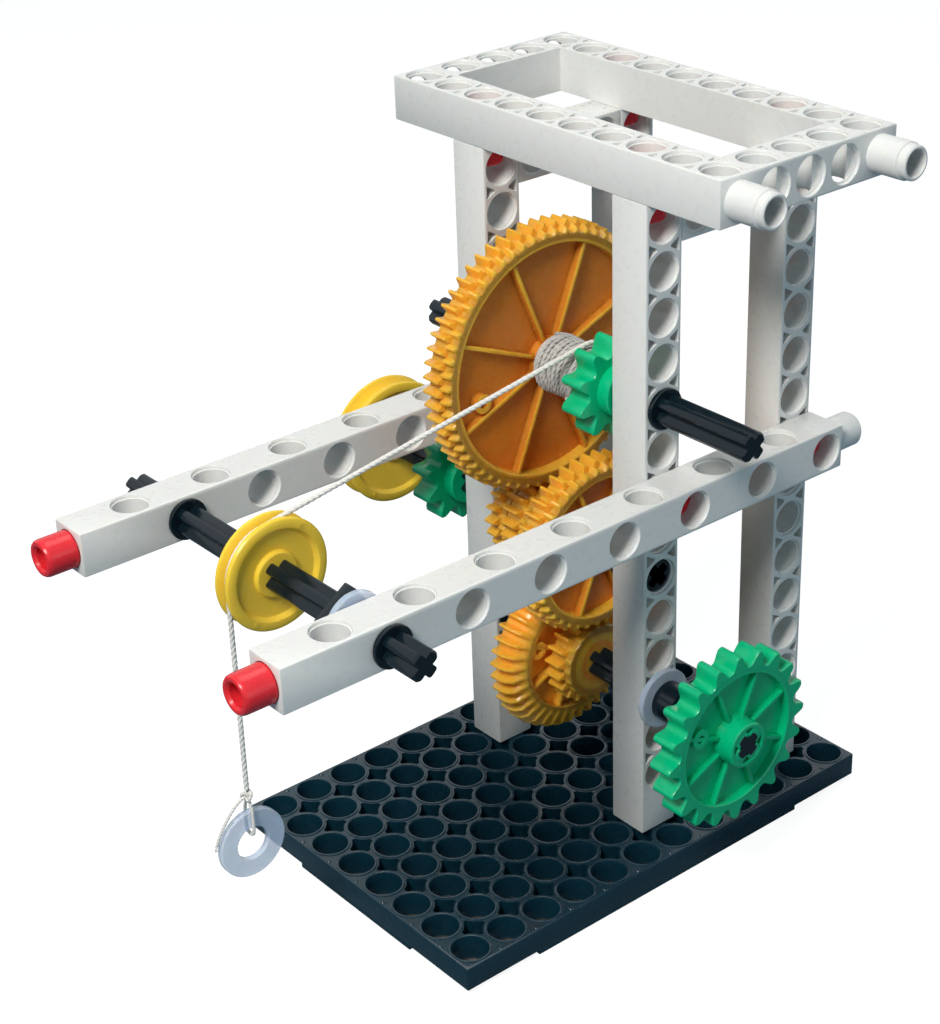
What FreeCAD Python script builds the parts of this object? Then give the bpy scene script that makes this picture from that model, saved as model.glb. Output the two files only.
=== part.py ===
import FreeCAD, Part
import math
import os
from FreeCAD import Placement, Rotation, Vector

# Classroom hoist and pulley demonstrator built from a hole-grid construction kit.
# Four posts on a grid plate carry three cross shafts with a two-stage gear train,
# and two long arms carry the pulley over which a string lifts a ring weight.
# +X runs from the arm tips to the rear, +Y to the left of someone at the arm tips,
# +Z is up, and the origin is the centre of the plate's underside. All sizes in mm.

doc = FreeCAD.newDocument("PulleyDemonstrator")
sheet = doc.addObject("Spreadsheet::Sheet", "Sizes")

DRIVING_SIZES = (
    # kit grid and beams
    ("grid_pitch", 10.0),
    ("beam_width", 10.0),
    ("hole_radius", 3.85),
    ("facet_radius", 4.1),
    ("hole_sides", 6),
    ("round_sides", 12),
    ("running_clearance", 0.06),
    ("seat_clearance", 0.05),
    ("side_gap", 0.3),
    # base plate
    ("base_cells_long", 12),
    ("base_cells_wide", 8),
    ("slab_thickness", 6.0),
    ("skirt_depth", 1.0),
    ("skirt_wall", 1.1),
    ("skirt_long", 80.0),
    ("skirt_short", 40.0),
    ("star_reach", 2.6),
    ("star_corners", 4),
    # posts, top frame and ties
    ("post_cells", 15),
    ("post_front_x", 5.0),
    ("post_spacing_x", 40.0),
    ("post_spacing_y", 50.0),
    ("socket_depth", 5.2),
    ("frame_cells_long", 10),
    ("frame_cells_wide", 5),
    ("frame_bore_depth", 7.0),
    ("frame_stud_length", 9.5),
    ("stud_radius", 4.0),
    ("stud_bore", 2.8),
    ("tie_cells", 3),
    ("tie_pip_radius", 2.5),
    ("tie_pip_length", 0.6),
    # arms
    ("arm_cells", 15),
    ("arm_level", 8),
    ("arm_overhang_cells", 10),
    ("arm_stud_length", 8.0),
    # pins
    ("pin_clearance", 0.06),
    ("pin_bore", 2.5),
    ("pin_length", 10.0),
    ("tip_pin_radius", 4.5),
    ("tip_pin_depth", 9.0),
    ("tip_pin_length", 7.5),
    # shafts
    ("winch_level", 10),
    ("lay_level", 6),
    ("crank_level", 3),
    ("pulley_shaft_cells", 8),
    ("axle_width", 6.8),
    ("axle_rib", 2.4),
    ("long_axle_length", 100.0),
    ("crank_axle_length", 80.0),
    ("winch_axle_start", -56.0),
    ("lay_axle_start", -29.0),
    ("crank_axle_start", -57.0),
    ("front_axle_start", -50.5),
    ("axle_turn", 40.0),
    ("flange_radius", 4.6),
    ("flange_thickness", 0.9),
    ("bush_length", 9.0),
    # washers, collar and stop
    ("washer_radius", 8.0),
    ("washer_thickness", 1.5),
    ("collar_radius", 4.6),
    ("collar_length", 6.0),
    ("washer_gap", 0.1),
    ("stop_side", 8.6),
    ("stop_length", 2.2),
    ("stop_turn", 10.0),
    # gears, module one
    ("gear_module", 1.0),
    ("tooth_backlash", 0.4),
    ("tooth_addendum", 0.85),
    ("tooth_dedendum", 1.25),
    ("flank_angle", 21.0),
    ("wheel_teeth", 60),
    ("middle_teeth", 40),
    ("pinion_teeth", 20),
    ("winch_gear_width", 7.0),
    ("middle_gear_width", 7.0),
    ("pinion_width", 6.6),
    ("rear_pinion_width", 5.0),
    ("gear_web", 2.0),
    ("gear_rim", 1.9),
    ("hub_radius", 4.9),
    ("rib_thickness", 1.2),
    ("rib_count", 8),
    ("boss_radius", 2.2),
    ("boss_bore", 1.0),
    ("boss_sink", 0.4),
    ("wheel_boss_x", -19.5),
    ("wheel_boss_z", -4.5),
    ("middle_boss_x", -11.5),
    ("middle_boss_z", 4.0),
    ("hand_boss_x", -13.4),
    ("hand_boss_z", 5.7),
    ("winch_gear_y", 4.0),
    ("lay_pinion_y", 4.4),
    ("lay_gear_y", -11.8),
    ("crank_gear_y", -3.2),
    ("crank_pinion_y", -10.1),
    # sprockets
    ("chain_pitch", 6.0),
    ("sprocket_addendum", 1.5),
    ("gullet_depth", 1.8),
    ("sprocket_width", 6.0),
    ("small_sprocket_teeth", 10),
    ("large_sprocket_teeth", 20),
    ("sprocket_hub_radius", 6.0),
    ("small_hub_length", 3.0),
    ("winch_sprocket_y", -16.4),
    ("lay_sprocket_y", 37.0),
    ("hand_wheel_y", -54.0),
    ("hand_wheel_hub", 5.3),
    ("hand_wheel_hub_length", 3.0),
    # pulleys
    ("pulley_hub", 5.2),
    ("pulley_dish", 1.2),
    ("pulley_rim", 2.4),
    ("pulley_rim_step", 0.3),
    ("pulley_land", 1.0),
    ("pulley_lip", 0.9),
    ("pulley_throat", 1.5),
    ("front_pulley_radius", 12.3),
    ("front_pulley_groove", 9.7),
    ("front_pulley_width", 5.0),
    ("front_pulley_centre_y", -1.2),
    ("large_pulley_radius", 15.5),
    ("large_pulley_groove", 12.5),
    ("large_pulley_width", 6.5),
    ("large_pulley_inset", 6.0),
    # string, winding and weight
    ("string_diameter", 1.2),
    ("string_sides", 6),
    ("winding_radius_gear", 6.6),
    ("winding_radius_sprocket", 5.9),
    ("winding_turns", 6),
    ("winding_pitch", 2.0),
    ("winding_gap", 0.25),
    ("string_lift", 0.3),
    ("string_leave_y", -7.4),
    ("weight_thickness", 1.6),
    ("weight_height", 31.2),
    ("knot_height", 43.0),
    ("knot_radius", 1.5),
    ("loop_radius", 0.45),
    ("loop_clearance", 0.1),
    ("tail_radius", 0.36),
)
for row, (alias, number) in enumerate(DRIVING_SIZES, start=1):
    sheet.set(f"A{row}", alias)
    sheet.set(f"B{row}", str(number))
    sheet.setAlias(f"B{row}", alias)
doc.recompute()


def size(alias):
    """One driving size, read from the sheet."""
    return float(sheet.get(alias))


def count(alias):
    return int(round(size(alias)))


PITCH = size("grid_pitch")
HALF_BEAM = size("beam_width") / 2
BASE_TOP = size("slab_thickness") + size("skirt_depth")
POST_X = (size("post_front_x"), size("post_front_x") + size("post_spacing_x"))
POST_Y = size("post_spacing_y") / 2
POST_TOP = BASE_TOP + count("post_cells") * PITCH
ARM_Y = POST_Y + size("beam_width")


def level(alias):
    """Height of a row of post holes, counted from the plate."""
    return BASE_TOP + PITCH * (size(alias) + 0.5)


WINCH_Z = level("winch_level")
LAY_Z = level("lay_level")
CRANK_Z = level("crank_level")
ARM_Z = level("arm_level")
ARM_FRONT_X = POST_X[0] - HALF_BEAM - size("arm_overhang_cells") * PITCH
PULLEY_X = POST_X[0] - size("pulley_shaft_cells") * PITCH

sub_parts = []


def finish(item, label):
    item.Label = label
    sub_parts.append(item)
    return item


def feature(label, shape, spot=(0, 0, 0), turn=Rotation()):
    """A computed solid with its own placement."""
    item = doc.addObject("Part::Feature", label)
    item.Shape = shape
    item.Placement = Placement(Vector(*spot), turn)
    return finish(item, label)


def along_y(solid_maker, *sizes):
    """A primitive whose axis is turned from Z to Y."""
    solid = solid_maker(*sizes)
    solid.rotate(Vector(0, 0, 0), Vector(1, 0, 0), -90)
    return solid


def disc(radius, y_start, length):
    solid = along_y(Part.makeCylinder, radius, length)
    solid.translate(Vector(0, y_start, 0))
    return solid


def prism_y(points, y_start, length):
    """A straight prism along Y over points given as (x, z)."""
    ring = [Vector(x, y_start, z) for x, z in points]
    face = Part.Face(Part.makePolygon(ring + ring[:1]))
    return face.extrude(Vector(0, length, 0))


def regular(radius, sides, turn=0.0):
    """Corners of a regular polygon, the angle counted from +Z."""
    step = 2 * math.pi / sides
    return [(radius * math.sin(turn + i * step), radius * math.cos(turn + i * step)) for i in range(sides)]


def cross_points(width, rib, turn):
    """Outline of a cross-shaped shaft."""
    reach = width / 2
    half = rib / 2
    quarter = [(half, half), (half, reach), (-half, reach)]
    points = []
    for step in range(4):
        angle = math.radians(turn + 90 * step)
        for x, z in quarter:
            points.append((x * math.cos(angle) - z * math.sin(angle), x * math.sin(angle) + z * math.cos(angle)))
    return points


def cross_bore(y_start, length):
    """The cross-shaped hole of a gear, pulley or bush."""
    play = 2 * size("seat_clearance")
    points = cross_points(size("axle_width") + play, size("axle_rib") + play, size("axle_turn"))
    return prism_y(points, y_start - 1, length + 2)


# The gridded plate: a slab with a round hole in each cell, a four-pointed
# opening between each four holes, and a shallow skirt along the middle of
# each side that lifts the corners off the table.

def base_plate():
    length = count("base_cells_long") * PITCH
    width = count("base_cells_wide") * PITCH
    corner = Vector(length / 2 - HALF_BEAM, width / 2 - HALF_BEAM, 0)
    rings = [Part.makePlane(length, width, Vector(-length / 2, -width / 2, 0)).OuterWire]
    for i in range(count("base_cells_long")):
        for j in range(count("base_cells_wide")):
            spot = Vector((i + 0.5) * PITCH - length / 2, (j + 0.5) * PITCH - width / 2, 0)
            at_corner = abs(spot.x) > corner.x - 1 and abs(spot.y) > corner.y - 1
            if at_corner:
                rings.append(Part.Wire(Part.makeCircle(size("hole_radius"), spot)))
            else:
                corners = regular(size("facet_radius"), count("hole_sides"), math.pi / 2)
                rings.append(closed([spot + Vector(x, y, 0) for x, y in corners]))
            if i and j:
                rings.append(star_ring(spot - Vector(PITCH / 2, PITCH / 2, 0)))
    outline = doc.addObject("Part::Feature", "base_outline")
    outline.Shape = Part.Face(rings, "Part::FaceMakerBullseye")
    outline.setExpression(".Placement.Base.z", "Sizes.skirt_depth")
    slab = doc.addObject("Part::Extrusion", "base_slab")
    slab.Base = outline
    slab.DirMode = "Custom"
    slab.Dir = Vector(0, 0, 1)
    slab.Solid = True
    slab.setExpression("LengthFwd", "Sizes.slab_thickness")
    rails = []
    half_length = "Sizes.base_cells_long * Sizes.grid_pitch / 2"
    half_width = "Sizes.base_cells_wide * Sizes.grid_pitch / 2"
    for y_rule in (f"-{half_width}", f"{half_width} - Sizes.skirt_wall"):
        rails.append(skirt("Sizes.skirt_long", "Sizes.skirt_wall", ("-Sizes.skirt_long / 2", y_rule)))
    for x_rule in (f"-{half_length}", f"{half_length} - Sizes.skirt_wall"):
        rails.append(skirt("Sizes.skirt_wall", "Sizes.skirt_short", (x_rule, "-Sizes.skirt_short / 2")))
    plate = doc.addObject("Part::MultiFuse", "base_fuse")
    plate.Shapes = [slab] + rails
    finish(plate, "base_plate")


def skirt(length_rule, width_rule, spot_rules):
    """One low rail under the plate's edge."""
    rail = doc.addObject("Part::Box", "base_rail")
    rail.setExpression("Length", length_rule)
    rail.setExpression("Width", width_rule)
    rail.setExpression("Height", "Sizes.skirt_depth")
    for axis, rule in zip("xy", spot_rules):
        rail.setExpression(f".Placement.Base.{axis}", rule)
    return rail


def closed(points):
    return Part.makePolygon(points + points[:1])


def star_ring(centre):
    """The opening left between four touching rings."""
    return closed([centre + Vector(x, y, 0) for x, y in regular(size("star_reach"), count("star_corners"))])


# Beams are bodies cut by rows of cross holes. Holes in which a shaft turns and
# studs are true cylinders, the rest have flat facets.

def beam(label, length_rule, height_rule, width_rule="Sizes.beam_width"):
    body = doc.addObject("PartDesign::Body", label)
    bar = body.newObject("PartDesign::AdditiveBox", label + "_bar")
    bar.setExpression("Length", length_rule)
    bar.setExpression("Width", width_rule)
    bar.setExpression("Height", height_rule)
    bar.Refine = False
    return body


def set_spot(item, rules, turn):
    item.Refine = False
    item.Placement = Placement(Vector(0, 0, 0), turn)
    for axis, rule in zip("xyz", rules):
        item.setExpression(f".Placement.Base.{axis}", rule)


def repeat(body, item, direction, pitch_rule, number):
    """Repeat the last feature of a body along one of its axes."""
    axis = next(line for line in body.Origin.OriginFeatures if line.Role == direction)
    row = body.newObject("PartDesign::LinearPattern", item.Name + "_row")
    row.Originals = [item]
    row.Direction = (axis, [""])
    row.Occurrences = number
    row.Refine = False
    row.setExpression("Length", f"({pitch_rule}) * {number - 1}")
    body.Tip = row


def prism(body, name, sides, radius_rule, length_rule, spot_rules, turn):
    """A faceted hole in a beam."""
    hole = body.newObject("PartDesign::SubtractivePrism", name)
    hole.setExpression("Polygon", f"Sizes.{sides}")
    hole.setExpression("Circumradius", radius_rule)
    hole.setExpression("Height", length_rule)
    set_spot(hole, spot_rules, turn)
    return hole


def facet_hole(body, name, spot_rules, turn):
    """A plain through hole across a beam, for a pin or nothing."""
    return prism(body, name, "hole_sides", "Sizes.facet_radius", "Sizes.beam_width + 2", spot_rules, turn)


def bore(body, name, spot_rules, turn):
    """A round through hole across a beam, in which a bush turns."""
    return cylinder(body, "Subtractive", name, "Sizes.hole_radius", "Sizes.beam_width + 2", spot_rules, turn)


def socket(body, name, depth_rule, spot_rules, turn):
    """A blind hole in a beam's end that takes a pin."""
    return prism(body, name, "hole_sides", "Sizes.facet_radius", depth_rule, spot_rules, turn)


def cylinder(body, kind, name, radius_rule, length_rule, spot_rules, turn):
    item = body.newObject(f"PartDesign::{kind}Cylinder", name)
    item.setExpression("Radius", radius_rule)
    item.setExpression("Height", length_rule)
    set_spot(item, spot_rules, turn)
    return item


UPRIGHT = Rotation()
TO_Y = Rotation(Vector(1, 0, 0), -90)
TO_X = Rotation(Vector(0, 1, 0), 90)
HALF = "Sizes.grid_pitch / 2"


def post(label, x, side, tie_side, bore_levels):
    body = beam(label, "Sizes.beam_width", "Sizes.post_cells * Sizes.grid_pitch")
    top = "Sizes.post_cells * Sizes.grid_pitch - Sizes.socket_depth"
    for name, z_rule in (("foot", "-1"), ("head", top)):
        socket(body, f"{label}_{name}", "Sizes.socket_depth + 1", (HALF, HALF, z_rule), UPRIGHT)
    dimple_depth = "Sizes.tie_pip_length + 2 * Sizes.seat_clearance"
    dimple_x = "0" if tie_side < 0 else f"Sizes.beam_width - ({dimple_depth})"
    dimple_z = "Sizes.grid_pitch * (Sizes.post_cells - 0.5)"
    dimple_radius = "Sizes.tie_pip_radius + Sizes.seat_clearance"
    spot = (dimple_x, HALF, dimple_z)
    prism(body, label + "_dimple", "hole_sides", dimple_radius, dimple_depth, spot, TO_X)
    for alias in bore_levels:
        spot = (HALF, "-1", f"Sizes.grid_pitch * (Sizes.{alias} + 0.5)")
        bore(body, f"{label}_{alias}", spot, TO_Y)
    first = facet_hole(body, label + "_hole", (HALF, "-1", HALF), TO_Y)
    repeat(body, first, "Z_Axis", "Sizes.grid_pitch", count("post_cells"))
    body.Placement = Placement(Vector(x - HALF_BEAM, side * POST_Y - HALF_BEAM, BASE_TOP), Rotation())
    finish(body, label)


def arm(label, side):
    length = "Sizes.arm_cells * Sizes.grid_pitch"
    body = beam(label, length, "Sizes.beam_width")
    rules = ("Sizes.stud_radius", "Sizes.arm_stud_length + 1", (f"{length} - 1", HALF, HALF))
    cylinder(body, "Additive", label + "_stud", *rules, TO_X)
    rules = ("hole_sides", "Sizes.stud_bore", "Sizes.arm_stud_length + 1", (length, HALF, HALF))
    prism(body, label + "_hollow", *rules, TO_X)
    socket(body, label + "_tip", "Sizes.grid_pitch + 1", ("-1", HALF, HALF), TO_X)
    shaft_x = "(Sizes.arm_overhang_cells + 0.5 - Sizes.pulley_shaft_cells) * Sizes.grid_pitch"
    bore(body, label + "_bearing", (shaft_x, "-1", HALF), TO_Y)
    double = "2 * Sizes.grid_pitch"
    cells = (count("arm_cells") - 1) // 2
    across = facet_hole(body, label + "_cross", ("2.5 * Sizes.grid_pitch", "-1", HALF), TO_Y)
    repeat(body, across, "X_Axis", double, cells)
    upright = facet_hole(body, label + "_upright", ("1.5 * Sizes.grid_pitch", HALF, "-1"), UPRIGHT)
    repeat(body, upright, "X_Axis", double, cells)
    body.Placement = Placement(Vector(ARM_FRONT_X, side * ARM_Y - HALF_BEAM, ARM_Z - HALF_BEAM), Rotation())
    finish(body, label)


def top_frame():
    length_rule = "Sizes.frame_cells_wide * Sizes.grid_pitch"
    width_rule = "Sizes.frame_cells_long * Sizes.grid_pitch"
    body = beam("top_frame", length_rule, "Sizes.beam_width", width_rule)
    window = body.newObject("PartDesign::SubtractiveBox", "frame_window")
    window.setExpression("Length", "(Sizes.frame_cells_wide - 2) * Sizes.grid_pitch")
    window.setExpression("Width", "(Sizes.frame_cells_long - 2) * Sizes.grid_pitch")
    window.setExpression("Height", "Sizes.beam_width + 2")
    set_spot(window, ("Sizes.grid_pitch", "Sizes.grid_pitch", "-1"), UPRIGHT)
    long_cells = count("frame_cells_long")
    wide_cells = count("frame_cells_wide")
    span = "(Sizes.frame_cells_wide - 1) * Sizes.grid_pitch"
    reach = "Sizes.frame_stud_length + 1"
    rules = ("Sizes.stud_radius", reach, (HALF, "-Sizes.frame_stud_length", HALF))
    repeat(body, cylinder(body, "Additive", "frame_stud", *rules, TO_Y), "X_Axis", span, 2)
    rules = ("hole_sides", "Sizes.stud_bore", reach, (HALF, "-Sizes.frame_stud_length - 1", HALF))
    repeat(body, prism(body, "frame_hollow", *rules, TO_Y), "X_Axis", span, 2)
    far_mouth = "Sizes.frame_cells_long * Sizes.grid_pitch - Sizes.frame_bore_depth"
    deep = "Sizes.frame_bore_depth + 1"
    far_bore = socket(body, "frame_far_bore", deep, (HALF, far_mouth, HALF), TO_Y)
    repeat(body, far_bore, "X_Axis", "Sizes.grid_pitch", wide_cells)
    near_bore = socket(body, "frame_near_bore", deep, ("1.5 * Sizes.grid_pitch", "-1", HALF), TO_Y)
    repeat(body, near_bore, "X_Axis", "Sizes.grid_pitch", wide_cells - 2)
    far_x = "(Sizes.frame_cells_wide - 0.5) * Sizes.grid_pitch"
    far_y = "(Sizes.frame_cells_long - 0.5) * Sizes.grid_pitch"
    for side, y_rule in enumerate((HALF, far_y)):
        first = facet_hole(body, f"frame_end_{side}", ("1.5 * Sizes.grid_pitch", y_rule, "-1"), UPRIGHT)
        repeat(body, first, "X_Axis", "Sizes.grid_pitch", wide_cells - 2)
    for side, x_rule in enumerate((HALF, far_x)):
        first = facet_hole(body, f"frame_side_{side}", (x_rule, HALF, "-1"), UPRIGHT)
        repeat(body, first, "Y_Axis", "Sizes.grid_pitch", long_cells)
    frame_x = POST_X[0] - HALF_BEAM
    body.Placement = Placement(Vector(frame_x, -long_cells * PITCH / 2, POST_TOP), Rotation())
    finish(body, "top_frame")


def tie(label, side):
    length = "Sizes.tie_cells * Sizes.grid_pitch"
    body = beam(label, length, "Sizes.beam_width")
    for end, x_rule in enumerate(("-Sizes.tie_pip_length", f"{length} - 1")):
        pip = body.newObject("PartDesign::AdditivePrism", f"{label}_pip_{end}")
        pip.setExpression("Polygon", "Sizes.hole_sides")
        pip.setExpression("Circumradius", "Sizes.tie_pip_radius")
        pip.setExpression("Height", "Sizes.tie_pip_length + 1")
        set_spot(pip, (x_rule, HALF, HALF), TO_X)
    across = facet_hole(body, label + "_cross", (HALF, "-1", HALF), TO_Y)
    repeat(body, across, "X_Axis", "2 * Sizes.grid_pitch", 2)
    body.Tip = facet_hole(body, label + "_upright", ("1.5 * Sizes.grid_pitch", HALF, "-1"), UPRIGHT)
    spot = Vector(POST_X[0] + HALF_BEAM, side * POST_Y - HALF_BEAM, POST_TOP - size("beam_width"))
    body.Placement = Placement(spot, Rotation())
    finish(body, label)


# Red hollow pins hold the beams together at the grid holes.

def pin(label, spot, turn):
    outer = doc.addObject("Part::Prism", label + "_wall")
    outer.setExpression("Polygon", "Sizes.hole_sides")
    outer.setExpression("Circumradius", "Sizes.facet_radius - Sizes.pin_clearance")
    outer.setExpression("Height", "Sizes.pin_length")
    inner = doc.addObject("Part::Prism", label + "_bore")
    inner.setExpression("Polygon", "Sizes.hole_sides")
    inner.setExpression("Circumradius", "Sizes.pin_bore")
    inner.setExpression("Height", "Sizes.pin_length + 2")
    inner.Placement.Base = Vector(0, 0, -1)
    hollow = doc.addObject("Part::Cut", label + "_cut")
    hollow.Base = outer
    hollow.Tool = inner
    hollow.Placement = Placement(Vector(*spot), turn)
    finish(hollow, label)


def upright_prism(radius, start, length):
    """A faceted rod along Z, its corners in line with those of the holes."""
    sides = count("hole_sides")
    ring = [Vector(radius * math.cos(2 * math.pi * i / sides), radius * math.sin(2 * math.pi * i / sides), start)
            for i in range(sides)]
    return Part.Face(closed(ring)).extrude(Vector(0, 0, length))


def tip_pin(label, side):
    """The plug in an arm's end socket, with its wider head outside."""
    inside = size("tip_pin_depth")
    outside = size("tip_pin_length")
    shank = upright_prism(size("facet_radius") - size("pin_clearance"), -inside, inside + 1)
    head = upright_prism(size("tip_pin_radius"), size("seat_clearance"), outside)
    solid = shank.fuse(head).cut(upright_prism(size("pin_bore"), -inside - 1, inside + outside + 2))
    outwards = Rotation(Vector(0, 1, 0), -90)
    feature(label, solid, (ARM_FRONT_X, side * ARM_Y, ARM_Z), outwards)


# Shafts, bushes, washers and stops.

def axle(label, spot, length_alias):
    points = cross_points(size("axle_width"), size("axle_rib"), size("axle_turn"))
    feature(label, prism_y(points, 0, size(length_alias)), spot)


def rod(radius, sides, y_start, length):
    """A faceted rod along Y, its corners in line with those of the bores."""
    return prism_y(regular(radius, sides, math.pi / 2), y_start, length)


def turned(profile, sides):
    """A faceted solid about the Y axis through the given radii and places."""
    rings = [[Vector(a, y, b) for a, b in regular(radius, sides, math.pi / 2)] for radius, y in profile]
    faces = [Part.Face(closed(rings[0])), Part.Face(closed(rings[-1]))]
    for near, far in zip(rings, rings[1:]):
        for here in range(sides):
            there = (here + 1) % sides
            faces.append(Part.Face(closed([near[here], near[there], far[there], far[here]])))
    shell = Part.makeShell(faces)
    shell.sewShape()
    solid = Part.makeSolid(shell)
    if solid.Volume < 0:
        solid.reverse()
    return solid


def bush(label, x, face_y, z, way=1):
    """Sleeve in a beam's hole, pushed in along the given way up to its flange."""
    gap = size("side_gap")
    thickness = size("flange_thickness")
    reach = size("bush_length")
    sides = count("round_sides")
    flange_y = face_y - way * gap - (thickness if way > 0 else 0)
    sleeve_y = face_y - gap if way > 0 else face_y - reach
    sleeve = rod(size("hole_radius") - size("running_clearance"), sides, sleeve_y, reach + gap)
    solid = rod(size("flange_radius"), sides, flange_y, thickness).fuse(sleeve)
    solid = solid.cut(cross_bore(min(flange_y, sleeve_y), reach + gap + thickness))
    feature(label, solid, (x, 0, z))


def round_spacer(label, x, y, z, radius, length):
    solid = rod(radius, count("round_sides"), 0, length).cut(cross_bore(0, length))
    feature(label, solid, (x, y, z))


def washer_ring(thickness):
    """A flat ring with its axis along Y, centred."""
    half = thickness / 2
    outer = rod(size("washer_radius"), 2 * count("round_sides"), -half, thickness)
    return outer.cut(rod(size("hole_radius"), count("round_sides"), -thickness, 2 * thickness))


def washer(label, x, y, z):
    feature(label, washer_ring(size("washer_thickness")), (x, y + size("washer_thickness") / 2, z))


# Gear wheels: straight-flanked teeth of module one on a rim, a thin web with
# radial ribs on both sides, a hub with a cross-shaped hole and one small boss.

def toothed_outline(teeth, phase):
    module = size("gear_module")
    pitch_radius = teeth * module / 2
    tip = pitch_radius + size("tooth_addendum") * module
    root = pitch_radius - size("tooth_dedendum") * module
    tooth = math.pi * module / 2 - size("tooth_backlash")
    flank = math.tan(math.radians(size("flank_angle")))
    tip_half = tooth / 2 - (tip - pitch_radius) * flank
    root_half = tooth / 2 + (pitch_radius - root) * flank
    points = []
    for index in range(teeth):
        centre = 2 * math.pi * (index + phase) / teeth
        for radius, offset in ((root, -root_half), (tip, -tip_half), (tip, tip_half), (root, root_half)):
            angle = centre + offset / radius
            points.append((radius * math.sin(angle), radius * math.cos(angle)))
    return points, root


def ring_arc(radius, half_angle, middle, number):
    """Points along an arc in a wheel's plane."""
    angles = [middle + half_angle * (2 * step / (number - 1) - 1) for step in range(number)]
    return [(radius * math.sin(angle), radius * math.cos(angle)) for angle in angles]


def web_fields(outer, inner, starts, depth):
    """The sunk fields between the ribs, as cutters, on each side of a web."""
    cutters = []
    ribs = count("rib_count")
    for index in range(ribs):
        middle = 2 * math.pi * index / ribs
        far = math.pi / ribs - math.asin(size("rib_thickness") / 2 / outer)
        near = math.pi / ribs - math.asin(size("rib_thickness") / 2 / inner)
        outline = ring_arc(outer, far, middle, 3) + ring_arc(inner, near, middle, 2)[::-1]
        for start in starts:
            cutters.append(prism_y(outline, start, depth))
    return cutters


def wheel(points, width, rim_inner, hub, boss_at=None):
    """A toothed disc with its cross-shaped hole, sunk webs and small boss."""
    rings = []
    play = 2 * size("seat_clearance")
    cross = cross_points(size("axle_width") + play, size("axle_rib") + play, size("axle_turn"))
    for outline in (points, cross):
        ring = [Vector(x, 0, z) for x, z in outline]
        rings.append(Part.makePolygon(ring + ring[:1]))
    solid = Part.Face(rings, "Part::FaceMakerBullseye").extrude(Vector(0, width, 0))
    if rim_inner < hub + 2:
        return solid
    depth = (width - size("gear_web")) / 2
    cutters = web_fields(rim_inner, hub, (0, width - depth), depth)
    if boss_at:
        middle = Vector(boss_at[0], 0, boss_at[1])
        boss = rod(size("boss_radius"), count("hole_sides"), size("boss_sink"), depth)
        hole = rod(size("boss_bore"), count("hole_sides"), -1, width + 2)
        for piece in (boss, hole):
            piece.translate(middle)
        cutters = [field.cut(boss) if field.distToShape(boss)[0] == 0 else field for field in cutters]
        cutters.append(hole)
    return solid.cut(Part.makeCompound(cutters))


def gear(label, teeth, width, spot, phase, boss_at=None):
    points, root = toothed_outline(teeth, phase)
    feature(label, wheel(points, width, root - size("gear_rim"), size("hub_radius"), boss_at), spot)


# Chain sprockets: round-ended teeth with hollow gullets, the large one with a
# ribbed web and a long hub that serves as the hand wheel.

def sprocket_outline(teeth):
    pitch_radius = size("chain_pitch") / 2 / math.sin(math.pi / teeth)
    tip = pitch_radius + size("sprocket_addendum")
    gullet = pitch_radius - size("gullet_depth")
    step = 2 * math.pi / teeth
    flank = ((gullet, -0.4), (pitch_radius, -0.22), (tip, -0.09))
    points = []
    for index in range(teeth):
        for radius, share in flank + tuple((radius, -share) for radius, share in reversed(flank)):
            angle = (index + share) * step
            points.append((radius * math.sin(angle), radius * math.cos(angle)))
    return points, gullet


def small_sprocket(label, spot):
    """Teeth with a hub that stands out towards -Y."""
    points, gullet = sprocket_outline(count("small_sprocket_teeth"))
    width = size("sprocket_width")
    hub = size("small_hub_length")
    solid = prism_y(points, 0, width).fuse(rod(size("sprocket_hub_radius"), count("round_sides"), -hub, hub + 1))
    solid = solid.cut(cross_bore(-hub, width + hub))
    feature(label, solid, spot)


def hand_wheel(label, spot):
    points, gullet = sprocket_outline(count("large_sprocket_teeth"))
    width = size("sprocket_width")
    hub = size("hand_wheel_hub_length")
    boss_at = (size("hand_boss_x"), size("hand_boss_z"))
    solid = wheel(points, width, gullet - size("gear_rim"), size("hand_wheel_hub"), boss_at)
    sleeve = rod(size("hand_wheel_hub"), count("round_sides"), -hub, hub).cut(cross_bore(-hub, hub))
    feature(label, solid.fuse(sleeve), spot)


# Grooved pulleys, turned from one profile about the shaft's axis.

def pulley(label, kind, spot):
    """A dished, grooved pulley of the given kind, centred on its own place."""
    radius = size(f"{kind}_pulley_radius")
    groove = size(f"{kind}_pulley_groove")
    half = size(f"{kind}_pulley_width") / 2
    throat = size("pulley_throat") / 2
    face = (
        (size("pulley_hub"), half - size("pulley_dish")),
        (radius - size("pulley_rim"), half - size("pulley_rim_step")),
        (radius - size("pulley_land"), half),
        (radius, half - size("pulley_lip")),
        (groove, throat),
    )
    profile = [(corner, -y) for corner, y in face] + list(reversed(face))
    body = turned(profile, 2 * count("round_sides")).cut(cross_bore(-half, 2 * half))
    feature(label, body, spot)


# String paths are straight runs and circular arcs. An arc from one point and
# direction to a second point follows from the chord, and two such arcs join
# any two points with given directions.

def arc_to(start, direction, end):
    chord = end - start
    across = direction - chord * (direction.dot(chord) / chord.dot(chord))
    if across.Length < 1e-7:
        return Part.LineSegment(start, end).toShape(), Vector(direction)
    half_turn = direction.getAngle(chord)
    across.normalize()
    middle = (start + end) * 0.5 + across * (chord.Length / 2 * math.tan(half_turn / 2))
    unit = Vector(chord)
    unit.normalize()
    leaving = unit * (2 * direction.dot(unit)) - direction
    return Part.Arc(start, middle, end).toShape(), leaving


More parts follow.
